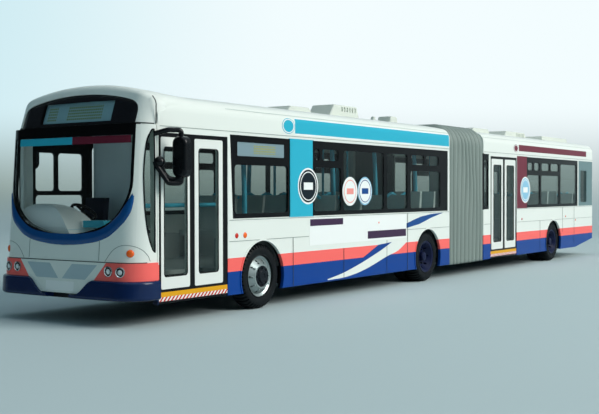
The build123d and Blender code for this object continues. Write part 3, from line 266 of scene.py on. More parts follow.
# Bands, painted pillars, the tail's corner slots, the dark edge at the bellows and the sill's end
for paint, mask in (
        (TEAL, both(inside(z, 33.55, 36.4), inside(x, along(117.0), along(47.6)))),
        (TEAL, both(near_side, beside_windows, inside(x, along(54.3), along(45.5)))),
        (MAROON, both(inside(z, 33.95, 35.8), inside(x, along(225.3), along(164.0)))),
        (MAROON, both(near_side, beside_windows, inside(x, along(170.8), along(162.6)))),
        ("6a8487", both(inside(z, WAIST_Z, WINDOW_TOP_Z), inside(x, along(232.0), along(217.4)))),
        (EDGE_BLACK, both(beside_windows, inside(x, REAR_START_X - 0.6, REAR_START_X + 0.6))),
        ("071b3c", both(inside(z, 0.0, BLUE_TOP_Z), inside(x, along(9.2), FRONT_X)))):
    colour = over(colour, paint, mask)
dress(tree, shader, ENAMEL_GRAIN, (8.0, 0.29, 0.32), colour)

# The moulded front, painted to match: coral lamp panels with a slanted end, and a black ledge
mask_paint, tree, shader = material("gloss enamel on moulded front", WHITE, 0.3, coat=0.05)
x, y, z = place_axes(tree)
sideways = maths("ABSOLUTE", y)
past_slant = maths("GREATER_THAN", sideways, maths("MULTIPLY_ADD", z, 0.85, 1.4))
colour = over(WHITE, CORAL, both(past_slant, inside(z, BLUE_TOP_Z - 1.0, APRON_TOP_Z + 0.02)))
ledge = both(inside(z, LEDGE_Z - 0.15, LEDGE_Z + 0.5), maths("LESS_THAN", sideways, HALF_WIDTH - 2.4))
dress(tree, shader, ENAMEL_GRAIN, (8.0, 0.26, 0.34), over(colour, EDGE_BLACK, ledge))

# Pad-printed ink, a little glossier than the enamel, and a blue-grey ink that paints shade into the nose's
# recesses
prints = {ink: plain("printed " + ink, hex_value, 0.28, INK_GRAIN) for ink, hex_value in {
    "white": WHITE, "blue": BLUE, "teal": TEAL, "maroon": MAROON, "plum": "3f2947", "pale": "f0f3f1",
    "ink": "101d26", "leaf": "174a8c", "sky": "8fc3dd", "rose": "f29b93", "recess_shade": "b4c6cc",
    "faint seam": "c0cbc6", "seam": "8b9692", "dark seam": "39403f"}.items()}

# Moulded lenses: clear colour with a bright glint
lenses = {lens: plain("moulded lens " + lens, hex_value, 0.14, (0.8, 0.0006), coat=0.4)
          for lens, hex_value in {"red": "c92a1c", "orange": LAMP_ORANGE, "clear": "eef3f3"}.items()}

# Glossy ink and enamels, and the baseplate's worn satin one
black_gloss = plain("black printed surround", "07090c", 0.2, (3.0, 0.0008), (5.0, 0.16, 0.26))
hood_paint = plain("gloss enamel on roof hood", WHITE, 0.3, ENAMEL_GRAIN, coat=0.05)
door_white = plain("white enamel on door leaves", "e4e8e3", 0.3, ENAMEL_GRAIN, coat=0.15)
base_black = plain("satin black enamel on zinc baseplate", "15181b", 0.5, (0.8, 0.004, 3.0), (3.0, 0.42, 0.6))

# Mouldings: glossier ones whose round edges carry a highlight, then plain ones with a fine grain
black_satin = plain("black moulded ABS", "070b10", 0.26, (1.2, 0.001), (3.0, 0.22, 0.32), coat=0.2)
navy_gloss = plain("navy moulded ABS", "07214c", 0.2, INK_GRAIN, (4.0, 0.16, 0.26), coat=0.3)
crescent_blue = plain("blue moulded ABS", "034a86", 0.22, INK_GRAIN, coat=0.4)
floor_grey = plain("grey moulded floor", "a9b0b0", 0.6, MOULDED_GRAIN)
seat_grey = plain("pale grey moulded seats", "dce3e2", 0.5, MOULDED_GRAIN)
seat_navy = plain("navy moulded seat", "141e30", 0.45, MOULDED_GRAIN)
pole_blue = plain("light blue moulded grab poles", "56b9d6", 0.35, MOULDED_GRAIN)
cab_grey = plain("grey moulded cab wall", "d2dfe4", 0.6, MOULDED_GRAIN)
pod_white = plain("grey-white moulded roof pods", "d5dbd2", 0.42, MOULDED_GRAIN)
gasket_black = plain("black moulded gasket", "0c1013", 0.4, MOULDED_GRAIN)

# Metals, and paints on the wheels: the silver one's flake is too fine to see
pin_steel = plain("drawn steel pin", "b7babd", 0.32, (0.6, 0.001), metallic=1.0)
rim_silver = plain("silver painted rim", "9aa6a6", 0.32, WHEEL_GRAIN, metallic=0.6)
hub_dark = plain("dark painted hub", "12181f", 0.36, WHEEL_GRAIN)
rim_navy = plain("dark blue painted rim", "10193a", 0.36, WHEEL_GRAIN)
chrome = plain("vacuum-plated lamp bowl", "c9d0d2", 0.18, LAMP_GRAIN, metallic=1.0)
mirror_glass = plain("silvered mirror glass", "dfe6e8", 0.04, (3.0, 0.0003), metallic=1.0)

# Black rubber with a faint bloom, and the bellows' satin grey one
rubber = plain("soft black rubber", "090f13", 0.55, (0.5, 0.003, 3.0), (1.5, 0.48, 0.68))
bellows_grey = plain("grey moulded rubber bellows", "838f8a", 0.4, (1.0, 0.004, 3.0), (4.0, 0.34, 0.5))

# The cab moulding: pale grey, with its tray touched in teal
dash_paint, tree, shader = material("pale grey moulded cowl with teal tray", "c3cac7", 0.45)
x, y, z = place_axes(tree)
tray = both(maths("GREATER_THAN", y, -1.2), inside(z, 15.6, 17.3))
dress(tree, shader, MOULDED_GRAIN, colour=over("eef1ee", "45b4cc", tray))

CLEAR_TINT = "fdfefe"


def clear_film(tree, tint, roughness=0.04, shine=0.015):
    """Thin clear moulding: a tinted film that mirrors by shine + 0.55 (1 - cos angle) to the power 4."""
    film = add(tree, "ShaderNodeBsdfTransparent", {"Color": tint})
    edge = add(tree, "ShaderNodeLayerWeight", {"Blend": 0.5})
    steep = maths("POWER", edge.outputs["Facing"], 4.0)
    share = maths("MULTIPLY_ADD", steep, 0.55, shine)
    return over_shader(film, principled(tree, "eef4f4", roughness, metallic=1.0), share)


# Clear polystyrene windscreen, nearly colourless
clear_glazing, tree = bare_material("clear polystyrene windscreen")
show(clear_film(tree, CLEAR_TINT))

# Side windows: the same moulding with a faint grey tint, left clear beside the driver
side_glazing, tree = bare_material("tinted polystyrene side windows")
x, y, z = place_axes(tree)
beside_driver = both(maths("GREATER_THAN", x, along(33.0)), maths("LESS_THAN", y, 0.0))
show(clear_film(tree, over("e4e8e6", CLEAR_TINT, beside_driver)))

# Destination glass: clear over the board, printed black round it
destination_glazing, tree = bare_material("clear destination glass with black print")
x, y, z = place_axes(tree)
window = both(inside(y, -9.0, 8.2), inside(z, 33.95, 37.5))
black_print = add(tree, "ShaderNodeBsdfPrincipled", {"Base Color": "0b1119", "Roughness": 0.22})
show(over_shader(black_print, clear_film(tree, "f2f7f8", 0.06, 0.02), window))

# Destination boards: grey-blue with blank fields of unlit olive dots; the front board is painted paler, as
# painted light for its shaded place behind the glass
DOT_PITCH = 0.5
DOT_EDGE = -0.5
display, tree, shader = material("unlit dot display", "6d8790", 0.45)
x, y, z = place_axes(tree)
front_board = maths("GREATER_THAN", x, 100.0)
side_board = maths("LESS_THAN", x, 100.0)
front_fields = maths("ADD", inside(y, -8.2, -5.8), inside(y, -3.2, 5.2))
fields = maths(
    "ADD", both(front_board, front_fields, inside(z, 34.4, 37.0)),
    both(side_board, inside(x, along(41.2), along(34.2)), inside(z, 29.1, 30.7)))
run_mm = add(tree, "ShaderNodeMix", {"Factor": front_board, "A": x, "B": y}, data_type="FLOAT")
dots = fields
for place in (run_mm.outputs["Result"], z):
    wave = maths("SINE", maths("MULTIPLY", place, 2 * math.pi / DOT_PITCH))
    dots = both(dots, maths("GREATER_THAN", wave, DOT_EDGE))
# Painted light: the front board paler than the side boards
colour = over("7d949c", "b4d2d8", front_board)
dress(tree, shader, (1.0, 0.0005), colour=over(colour, "9a9c50", dots))

# Lamp bodies: plated behind the headlamps, orange behind the indicators; red and orange at the tail
front_lens, tree, shader = material("plated and orange lamp bodies", "dfe6e6", 0.2, coat=0.3)
x, y, z = place_axes(tree)
dress(tree, shader, LAMP_GRAIN, colour=over("a8b2b5", LAMP_ORANGE, maths("GREATER_THAN", z, 10.9)))
tail_lens, tree, shader = material("red and orange tail lenses", "b3161a", 0.16, coat=0.4)
x, y, z = place_axes(tree)
dress(tree, shader, LAMP_GRAIN, colour=over("b3161a", "ea7a1a", inside(z, 12.4, 14.2)))

# Door frame: black, with the step's yellow edge over red and white chevrons on its outer face
CHEVRON_PITCH = 0.95
STEP_EDGE_Z = 4.65
DOOR_BLACK = "0a0b0e"
door_black, tree, shader = material("black door frame with step markings", DOOR_BLACK, 0.28)
x, y, z = place_axes(tree)
outer_face = maths("GREATER_THAN", y, HALF_WIDTH - 0.45)
colour = over(DOOR_BLACK, "e2a31c", both(outer_face, inside(z, STEP_EDGE_Z, 5.45)))
phase = maths("FRACT", maths("MULTIPLY", maths("ADD", x, z), 1 / CHEVRON_PITCH))
chevrons = both(outer_face, inside(z, 3.95, STEP_EDGE_Z))
colour = over(colour, "e8eae6", chevrons)
colour = over(colour, "c8322c", both(chevrons, maths("LESS_THAN", phase, 0.5)))
dress(tree, shader, (2.0, 0.001), colour=colour)

for finish, node_names in (
        (shell_paint, "front_body rear_body"), (mask_paint, "front_mask"), (clear_glazing, "windscreen"),
        (black_gloss, "windscreen_seal front_window_frames rear_window_frames"),
        (side_glazing, "front_glazing rear_glazing"), (destination_glazing, "destination_glass"),
        (display, "destination_displays"), (navy_gloss, "front_bumper"), (front_lens, "front_lamps"),
        (tail_lens, "rear_lamps"), (door_white, "front_doors rear_doors"),
        (door_black, "front_door_frame rear_door_frame"),
        (base_black, "front_chassis rear_chassis coupling_link coupling_eye"),
        (floor_grey, "front_floor rear_floor"), (seat_grey, "front_seats rear_seats"),
        (pole_blue, "front_poles rear_poles"), (seat_navy, "driver_seat"), (cab_grey, "driver_partition"),
        (dash_paint, "dashboard"), (black_satin, "steering_wheel mirrors rear_grille"),
        (pod_white, "front_roof_pods rear_roof_pods"), (bellows_grey, "bellows"),
        (pin_steel, "front_axle_pin middle_axle_pin rear_axle_pin"), (rim_silver, "front_rims"),
        (rim_navy, "middle_rims rear_rims"), (rubber, "front_tyres middle_tyres rear_tyres")):
    for node_name in node_names.split():
        for slot in cad_nodes[node_name].material_slots:
            slot.material = finish


# Meshes

def places(x, y, z):
    """Points from their coordinates, each spread to the shape of the largest."""
    return np.stack(np.broadcast_arrays(x, y, z), -1)


def full_turn(count):
    """Angles of a full turn in equal steps."""
    return np.linspace(0, 2 * math.pi, count, endpoint=False)


def grid_faces(rows, columns, wrap_rows=False, wrap_columns=False):
    """Quads between neighbours of a grid: (i, j), (i + 1, j), (i + 1, j + 1), (i, j + 1)."""
    i, j = np.meshgrid(
        np.arange(rows if wrap_rows else rows - 1),
        np.arange(columns if wrap_columns else columns - 1), indexing="ij")
    after_i = (i + 1) % rows
    after_j = (j + 1) % columns
    corners = (i * columns + j, after_i * columns + j, after_i * columns + after_j, i * columns + after_j)
    return np.stack(corners, axis=-1).reshape(-1, 4).tolist()


def piece(name, points, finish, body=None, faces=None, sharp=35.0, outward=True, smooth=True):
    """An object at the origin from a grid of points in mm, or points and faces, with doubles merged."""
    mesh = bpy.data.meshes.new(name)
    faces = faces or grid_faces(*points.shape[:2])
    mesh.from_pydata((points.reshape(-1, 3) * MM).tolist(), [], faces)
    work = bmesh.new()
    work.from_mesh(mesh)
    bmesh.ops.remove_doubles(work, verts=work.verts, dist=1e-7)
    if outward:
        bmesh.ops.recalc_face_normals(work, faces=work.faces)
    work.to_mesh(mesh)
    work.free()
    if smooth:
        mesh.polygons.foreach_set("use_smooth", [True] * len(mesh.polygons))
        mesh.set_sharp_from_angle(angle=math.radians(sharp))
    mesh.materials.append(finish)
    made = bpy.data.objects.new(name, mesh)
    bpy.context.scene.collection.objects.link(made)
    if body is not None:
        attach(made, body)
    return made


def thicken(made, thickness, offset):
    """Turns a single surface into a closed sheet."""
    wall = made.modifiers.new("wall", "SOLIDIFY")
    wall.thickness = thickness * MM
    wall.offset = offset


def nose_x(y, z):
    """X of the nose: a bow of radius 250, a shoulder of 3.9 and a corner arc, raked; the dome set back."""
    y = np.abs(np.asarray(y, float))
    z = np.asarray(z, float)
    low = math.asin(BOW_HALF / BOW_RADIUS)
    centre_x = BOW_RADIUS * (math.cos(low) - 1.0) - SHOULDER_RADIUS * math.cos(low)
    centre_y = BOW_HALF - SHOULDER_RADIUS * math.sin(low)
    end_y = centre_y + SHOULDER_RADIUS * math.sin(SHOULDER_ANGLE)
    end_x = centre_x + SHOULDER_RADIUS * math.cos(SHOULDER_ANGLE)
    corner_r = (HALF_WIDTH - end_y) / (1.0 - math.sin(SHOULDER_ANGLE))
    corner_x = end_x - corner_r * math.cos(SHOULDER_ANGLE)
    bow = np.sqrt(np.maximum(BOW_RADIUS ** 2 - y ** 2, 0)) - BOW_RADIUS
    shoulder = centre_x + np.sqrt(np.maximum(SHOULDER_RADIUS ** 2 - (y - centre_y) ** 2, 0))
    corner = corner_x + np.sqrt(np.maximum(corner_r ** 2 - (y - HALF_WIDTH + corner_r) ** 2, 0))
    shape = np.where(y <= BOW_HALF, bow, np.where(y <= end_y, shoulder, corner))
    rake = FRONT_RAKE / (ROOF_Z - NOSE_FOOT_Z)
    tip = FRONT_X - BUMPER_SWELL - rake * (np.minimum(z, LEDGE_Z) - NOSE_FOOT_Z)
    tip = tip - np.where(z > LEDGE_Z, LEDGE_DEPTH + DOME_SLOPE * (z - LEDGE_Z), 0.0)
    return tip + shape


def side_y(z):
    """The body side: upright, then a quarter round of radius 2.7 from z 35.5."""
    rise = np.maximum(np.asarray(z, float) - CANT_START_Z, 0)
    return HALF_WIDTH - CANT_RADIUS + np.sqrt(CANT_RADIUS ** 2 - rise ** 2)


def printed(name, points, ink, body, faces=None):
    """A sheet of ink."""
    made = piece(name, points, prints[ink], body, faces, outward=False, smooth=False)
    thicken(made, PRINT_THICKNESS, 0.0)


def band(across, low, high, rows):
    """A grid between two curves: its place across and its height."""
    across = np.asarray(across, float)[:, None]
    low = np.broadcast_to(low, across.shape[:1])[:, None]
    high = np.broadcast_to(high, across.shape[:1])[:, None]
    z = low + (high - low) * np.linspace(0, 1, rows)
    return np.broadcast_to(across, z.shape), z


def side_print(name, side, body, backs, low, high, ink, layer=1, rows=4):
    """A printed shape between a lower and an upper curve over the backs, laid on the body side."""
    backs, z = band(backs, low, high, rows)
    points = places(along(backs), side * (side_y(z) + PRINT_LIFT * layer), z)
    printed(name, points, ink, body)


def side_disc(name, side, body, back, z, half_width, half_height, ink, layer=1, inner=0.0):
    """A printed ellipse, or a ring where inner is over 0: (r cos t, r sin t) on the body side."""
    turn = full_turn(72)
    r = np.linspace(max(inner, 0.001), 1.0, 6)[:, None]
    z = z + half_height * r * np.sin(turn)
    faces = grid_faces(*z.shape, wrap_columns=True)
    if inner == 0.0:
        faces.append(list(range(z.shape[1])))
    points = places(along(back) + half_width * r * np.cos(turn), side * (side_y(z) + PRINT_LIFT * layer), z)
    printed(name, points, ink, body, faces)


def both_sides(*rows):
    """Lays rows of prints, each a function, a name and values, on the nearside, then on the offside."""
    for side, side_name in SIDES:
        for lay, name, *values in rows:
            lay(f"{name}_{side_name}", side, *values)


def nose_print(name, ys, low, high, ink, lift=PRINT_LIFT):
    """A printed shape between two curves, laid on the bowed nose."""
    y, z = band(ys, low, high, 5)
    printed(name, places(nose_x(y, z) + lift, y, z), ink, FRONT)


def smooth_curve(points, count):
    """Points of a Catmull-Rom curve through given points, as whole arrays."""
    p = np.asarray(points, float)
    p = np.vstack([2 * p[0] - p[1], p, 2 * p[-1] - p[-2]])
    t = np.linspace(0, len(p) - 3, count)
    i = np.minimum(t.astype(int), len(p) - 4)
    f = (t - i)[:, None]
    a, b, c, d = p[i], p[i + 1], p[i + 2], p[i + 3]
    square, cube = 2 * a - 5 * b + 4 * c - d, 3 * b - a - 3 * c + d
    return 0.5 * (2 * b + (c - a) * f + square * f ** 2 + cube * f ** 3)


def mirrored(points):
    """Points up to the middle, followed by their mirror image down the other side."""
    points = np.asarray(points, float)
    return np.vstack([points, points[-2::-1] * [-1, 1]])


def tube(name, path, radius, finish, body=FRONT, sides=8, loop=False):
    """A circle of the radius carried along a path, square to it: p + r (u cos t + v sin t)."""
    path = np.asarray(path, float)
    if loop:
        heading = np.roll(path, -1, axis=0) - np.roll(path, 1, axis=0)
    else:
        heading = np.gradient(path, axis=0)
    heading /= np.linalg.norm(heading, axis=1, keepdims=True)
    reference = np.where(np.abs(heading[:, 2:3]) > 0.9, [[0.0, 1.0, 0.0]], [[0.0, 0.0, 1.0]])
    first = np.cross(heading, reference)
    first /= np.linalg.norm(first, axis=1, keepdims=True)
    second = np.cross(heading, first)
    turn = full_turn(sides)[:, None]
    ring = first[:, None, :] * np.cos(turn) + second[:, None, :] * np.sin(turn)
    rows = len(path)
    faces = grid_faces(rows, sides, wrap_rows=loop, wrap_columns=True)
    if not loop:
        faces.append(list(range(sides)))
        faces.append(list(range((rows - 1) * sides, rows * sides)))
    piece(name, path[:, None, :] + ring * radius, finish, body, faces, sharp=50.0)


def turned(name, profile, axle_x, side, finish, body, steps=96, sharp=35.0, notch=None):
    """A closed profile of (radius, y) turned about an axle, less a notch: (r cos t, y, r sin t)."""
    profile = np.asarray(profile, float)
    turn = full_turn(steps)[:, None]
    radius = profile[:, 0]
    if notch is not None:
        radius = radius - notch(turn, radius)
    points = places(axle_x + radius * np.cos(turn), side * profile[:, 1], HUB_Z + radius * np.sin(turn))
    return piece(name, points, finish, body, grid_faces(steps, len(profile), True, True), sharp)


def button(name, centre, normal, profile, finish, body, steps=40):
    """A profile of (radius, height) turned about a normal: c + n h + r (u cos t + v sin t)."""
    normal = np.asarray(normal, float)
    normal /= np.linalg.norm(normal)
    first = np.cross(normal, [0.0, 0.0, 1.0])
    first /= np.linalg.norm(first)
    second = np.cross(normal, first)
    profile = np.asarray(profile, float)
    turn = full_turn(steps)[:, None, None]
    around = first * np.cos(turn) + second * np.sin(turn)
    points = np.asarray(centre) + normal * profile[None, :, 1:2] + profile[None, :, 0:1] * around
    piece(name, points, finish, body, grid_faces(steps, len(profile), True, True), sharp=40.0)


def dome(radius, height, foot=0.1):
    """Section of a lens: half an ellipse above a sunk foot."""
    angle = np.linspace(0, math.pi / 2, 7)
    cap = np.stack([radius * np.cos(angle), height * np.sin(angle)], -1)
    return np.vstack([[(0.001, -foot), (radius, -foot)], cap[:-1], [(0.001, height)]])


# Livery shapes, worked out from the photograph, on the nearside and mirrored on the offside
swoosh_low = smooth_curve([
    (59.4, 3.72), (65.5, 3.84), (70.4, 4.29), (75.0, 5.06), (79.6, 6.1), (84.4, 7.3), (89.1, 8.19),
    (91.4, 9.01), (94.7, 10.5)], 90).T
swoosh_high = smooth_curve([
    (59.4, 3.94), (65.5, 4.83), (72.7, 6.4), (78.6, 7.95), (82.8, 9.15), (86.9, 10.5)], 60).T
wedge_backs = np.linspace(73.8, 86.8, 40)
wedge_low = np.interp(wedge_backs, *swoosh_high) - 0.1
wedge_high = np.interp(wedge_backs, [73.8, 75.0, 80.7, 86.8], [7.6, 8.02, 10.12, 10.48])
backs = np.linspace(59.4, 94.7, 90)
swoosh = [np.interp(backs, *curve) for curve in (swoosh_low, swoosh_high)]
leaf_backs = np.linspace(94.1, 113.4, 50)
leaf_low = np.interp(leaf_backs, [94.1, 97.8, 100.6, 107.0, 113.4], [13.47, 13.94, 14.24, 15.65, 16.72])
leaf_high = np.interp(leaf_backs, [94.1, 97.8, 101.3, 107.0, 113.4], [14.58, 15.35, 16.01, 16.55, 16.76])
BAND_EDGE = 0.12
band_backs = np.linspace(47.6, 117.0, 8)
both_sides(
    (side_print, "wedge", FRONT, wedge_backs, wedge_low, wedge_high, "blue"),
    (side_print, "swoosh", FRONT, backs, *swoosh, "white", 3),
    (side_print, "leaf", FRONT, leaf_backs, leaf_low, leaf_high, "leaf"),
    (side_disc, "route_disc", FRONT, 45.3, 34.9, 2.15, 1.5, "teal"),
    (side_disc, "route_ring", FRONT, 45.3, 34.9, 2.0, 1.38, "pale", 3, 0.86),
    (side_disc, "rear_disc", REAR, 161.8, 34.7, 1.7, 1.1, "maroon"),
    (side_disc, "rear_ring", REAR, 161.8, 34.7, 1.55, 1.0, "pale", 3, 0.84),
    *((side_print, f"band_edge_{number}", FRONT, band_backs, z - BAND_EDGE, z + BAND_EDGE, "pale", 1, 2)
      for number, z in enumerate((33.42, 36.53))))

# Nearside panels and stickers, left blank
side_print("panel_white", NEARSIDE, FRONT, [52.7, 93.9], 11.2, 16.75, "pale")
side_print("panel_bar_upper", NEARSIDE, FRONT, [52.9, 65.5], 15.15, 16.5, "plum", layer=3)
side_print("panel_bar_lower", NEARSIDE, FRONT, [75.9, 93.7], 11.66, 13.34, "plum", layer=3)


def sticker(name, body, back, z, radius, edge, face, mark):
    """A round sticker: an edge, a face inside it, a thin ring and one plain bar."""
    for part, r, ink, layer, inner in (
            ("edge", radius, edge, 1, 0.0), ("face", radius * 0.9, face, 3, 0.0),
            ("ring", radius * 0.8, mark, 5, 0.93)):
        side_disc(f"{name}_{part}", NEARSIDE, body, back, z, r, r, ink, layer, inner)
    side_print(f"{name}_bar", NEARSIDE, body, [back - radius * 0.45, back + radius * 0.45],
               z - radius * 0.2, z + radius * 0.2, mark, layer=5)


sticker("dark_sticker", FRONT, 52.2, 23.2, 3.65, "pale", "ink", "pale")
sticker("rose_sticker", FRONT, 68.4, 22.15, 3.1, "pale", "pale", "rose")
sticker("sky_sticker", FRONT, 74.7, 22.2, 3.1, "sky", "pale", "leaf")
sticker("rear_sticker", REAR, 169.1, 22.55, 3.9, "pale", "sky", "pale")

# Side marker lamps
for name, back, z, radius, lens, body in (
        ("marker_red", 28.8, 14.1, 0.5, "red", FRONT), ("marker_orange", 31.3, 14.1, 0.55, "orange", FRONT),
        ("marker_small", 80.9, 15.1, 0.25, "orange", FRONT), ("marker_rear", 166.5, 13.9, 0.35, "red", REAR),
        ("marker_tail", 204.6, 13.9, 0.3, "orange", REAR), ("marker_last", 214.3, 12.5, 0.3, "orange", REAR)):
    for side, side_name in SIDES:
        button(f"{name}_{side_name}", (along(back), side * HALF_WIDTH, z), (0, side, 0),
               dome(radius, radius * 0.35), lenses[lens], body)

# Panel joints on the sides: upright joints, then grooves along the bus
SEAM = 0.06
GROOVE = SEAM * 0.8
joints = (
    (FRONT, 46.8, 3.6, 13.1), (FRONT, 65.8, 3.6, 10.1), (FRONT, 84.5, 3.6, 11.0), (FRONT, 94.5, 3.6, 17.0),
    (REAR, 181.2, 3.7, 13.1), (REAR, 201.5, 9.0, 17.0), (REAR, 212.8, 5.0, 17.0))
grooves = (
    (FRONT, 26.6, 52.4, 13.1), (FRONT, 94.2, 116.9, 13.1), (REAR, 138.9, 143.2, 13.1),
    (REAR, 162.8, 232.0, 13.1), (FRONT, 26.6, 117.0, 16.95), (REAR, 162.8, 232.0, 16.95),
    (FRONT, 26.0, 117.0, 36.95), (FRONT, 8.2, 117.0, 32.95), (REAR, 138.9, 232.0, 36.95),
    (REAR, 138.9, 232.0, 32.95))
both_sides(
    *((side_print, f"joint_{number}", body, [back - SEAM, back + SEAM], low, high, "dark seam", 5)
      for number, (body, back, low, high) in enumerate(joints)),
    *((side_print, f"groove_{number}", body, np.linspace(start, end, 12), z - GROOVE, z + GROOVE,
       "faint seam" if z > 36.0 else "seam", 4, 2)
      for number, (body, start, end, z) in enumerate(grooves)))

# Nose: the seam over the lamp panels, the covers' curved lines, the centre panel and a blank plate
LINE_RADIUS = 0.09
SEAM_Z = 10.55
seam_y = np.concatenate([
    np.linspace(-16.3, -13.0, 24), np.linspace(-12.5, 12.5, 30), np.linspace(13.0, 16.3, 24)])
seam_path = places(nose_x(seam_y, SEAM_Z), seam_y, SEAM_Z)
tube("long_seam", seam_path, LINE_RADIUS, prints["dark seam"])
cover_y, cover_z = smooth_curve([
    (9.8, 10.7), (11.0, 12.2), (12.2, 13.05), (13.6, 13.45), (15.0, 13.3), (15.9, 12.7), (16.3, 11.8),
    (16.42, 10.8)], 60).T
recess_y = np.linspace(0.5, 8.4, 40)
recess_low = np.interp(recess_y, [0.5, 5.9, 8.4], [7.6, 7.6, 10.05])
recess_high = np.interp(recess_y, [0.5, 2.7, 8.4], [7.65, 10.1, 10.1])
CENTRE_JOINT_Y = 8.45
for side, side_name in SIDES:
    cover_path = places(nose_x(cover_y, cover_z) - 0.02, side * cover_y, cover_z)
    tube(f"cover_line_{side_name}", cover_path, SEAM, prints["seam"])
    joint_y = [side * CENTRE_JOINT_Y - SEAM, side * CENTRE_JOINT_Y + SEAM]
    nose_print(f"centre_joint_{side_name}", joint_y, 10.8, 14.2, "seam")
    # Painted shade: the centre panel's V recesses are printed a darker blue-grey
    nose_print(f"lower_recess_{side_name}", side * recess_y, recess_low, recess_high, "recess_shade",
               lift=APRON_SWELL + PRINT_LIFT)
nose_print("plate", np.linspace(-3.4, 3.4, 12), 5.55, 7.15, "pale", lift=APRON_SWELL + PRINT_LIFT)

# Blue moulding under the windscreen: a thin crescent with a rounded section, fading out up the sides
CRESCENT_RISE = 0.24
CRESCENT_SINK = 0.04
crescent_low = mirrored(smooth_curve([
    (0.0, 13.08), (3.5, 13.25), (7.4, 13.75), (9.9, 14.5), (11.15, 15.2), (12.5, 16.2), (13.6, 17.25),
    (14.4, 18.6), (14.75, 20.2), (14.8, 21.4)], 80)[::-1] * [-1, 1])
crescent_high = mirrored(smooth_curve([
    (0.0, 15.06), (3.5, 15.16), (7.0, 15.6), (9.0, 16.22), (10.55, 17.1), (12.05, 18.3), (13.05, 19.5),
    (13.75, 20.5), (14.2, 21.3), (14.6, 22.0)], 80)[::-1] * [-1, 1])
share = np.linspace(0, 1, 9)[None, :, None]
crescent = crescent_low[:, None, :] * (1 - share) + crescent_high[:, None, :] * share
crescent_y, crescent_z = crescent[..., 0], crescent[..., 1]
rise = CRESCENT_RISE * np.sin(math.pi * share[..., 0]) ** 0.6
crescent_x = nose_x(crescent_y, crescent_z) - CRESCENT_SINK + rise
piece("crescent_moulding", places(crescent_x, crescent_y, crescent_z), crescent_blue, FRONT,
      sharp=60.0, outward=False)

# Roof's front edge: a white hood that frames the destination glass and runs back into the roof
HOOD_ROUND = 1.1
HOOD_BACK_X = 95.0
HOOD_SINK = 0.1
HOOD_LIFT = 0.06
HOOD_LIP = 0.3
HOOD_FOOT_Z = 33.25
hood_inner = smooth_curve(mirrored([
    (-13.78, 33.45), (-13.78, 34.7), (-13.72, 35.7), (-13.4, 36.5), (-12.6, 37.12), (-11.3, 37.55),
    (-8.2, 38.15), (-4.2, 38.6), (0.0, 38.74)]), 161)
hood_outer = smooth_curve(mirrored([
    (-16.48, HOOD_FOOT_Z), (-16.48, 34.8), (-16.45, 36.1), (-16.1, 37.2), (-15.2, 38.1), (-13.3, 38.85),
    (-9.5, 39.68), (-5.0, 40.27), (0.0, 40.46)]), 161)


def roof_section(count):
    """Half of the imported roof's section, sunk a little: upright leg, quarter round, then crown."""
    centre_y = HALF_WIDTH - CANT_RADIUS
    crown_z = ROOF_Z - CROWN_RADIUS
    centre_z = crown_z + math.sqrt((CROWN_RADIUS - CANT_RADIUS) ** 2 - centre_y ** 2)
    lean = math.pi / 2 - math.atan2(centre_y, centre_z - crown_z)
    step = np.linspace(0, 8, count)
    leg = np.stack([0 * step + HALF_WIDTH - HOOD_SINK, np.interp(step, [0, 2], [HOOD_FOOT_Z, centre_z])], -1)
    turn = np.interp(step, [2, 5], [0, lean])
    r = CANT_RADIUS - HOOD_SINK
    cant = np.stack([centre_y + r * np.cos(turn), centre_z + r * np.sin(turn)], -1)
    turn = np.interp(step, [5, 8], [lean, math.pi / 2])
    r = CROWN_RADIUS - HOOD_SINK
    crown = np.stack([r * np.cos(turn), crown_z + r * np.sin(turn)], -1)
    half = np.where(step[:, None] <= 2, leg, np.where(step[:, None] <= 5, cant, crown))
    return half * [-1, 1]


def ease(share):
    """Share squared times (3 - 2 share): a soft start and end."""
    return share ** 2 * (3 - 2 * share)


hood_root = mirrored(roof_section(81))
across_rim = np.linspace(0, 1, 14)[None, :, None]
rim = hood_inner[:, None, :] * (1 - across_rim) + hood_outer[:, None, :] * across_rim
to_edge = np.linalg.norm(hood_outer - hood_inner, axis=1)[:, None] * (1 - across_rim[..., 0])
upward = np.clip((hood_outer[:, 1] - 35.6) / 2.2, 0, 1)[:, None]
fall = np.clip(1 - (1 - np.minimum(to_edge / HOOD_ROUND, 1)) ** 2, 0, 1)
drop = HOOD_ROUND * (1 - np.sqrt(fall)) * upward
rim_x = nose_x(np.clip(rim[..., 0], -HALF_WIDTH, HALF_WIDTH), rim[..., 1]) + HOOD_LIFT - drop
backward = np.linspace(0, 1, 20)[None, 1:]
fade = ease(backward)[..., None]
back_yz = hood_outer[:, None, :] * (1 - fade) + hood_root[:, None, :] * fade
reach_x = MASK_X - 0.35 + (HOOD_BACK_X - MASK_X + 0.35) * upward ** 2
back_x = rim_x[:, -1:] + (reach_x - rim_x[:, -1:]) * backward
hood_x = np.concatenate([rim_x[:, :1] - HOOD_LIP, rim_x, back_x], axis=1)
hood_yz = np.concatenate([rim[:, :1], rim, back_yz], axis=1)
hood_points = places(hood_x, hood_yz[..., 0], hood_yz[..., 1])
piece("roof_hood", hood_points, hood_paint, FRONT, sharp=60.0, outward=False)

# The joint of moulded front and shell, carried up the hood's near side, and dark lines along the hood's lower
# edges: their joint and a painted shadow under the hood
SEAM_TOP_Z = 37.9
at_seam = ease(np.clip((rim_x[:, -1] - MASK_X) / (rim_x[:, -1] - reach_x[:, 0]), 0, 1))[:, None]
seam_yz = hood_outer * (1 - at_seam) + hood_root * at_seam + [-0.06, 0.02]
seam = places(MASK_X, seam_yz[:, 0], seam_yz[:, 1])
seam = seam[(seam[:, 1] > 0) & (seam[:, 2] < SEAM_TOP_Z)]
tube("hood_seam_near", seam, LINE_RADIUS, prints["dark seam"])
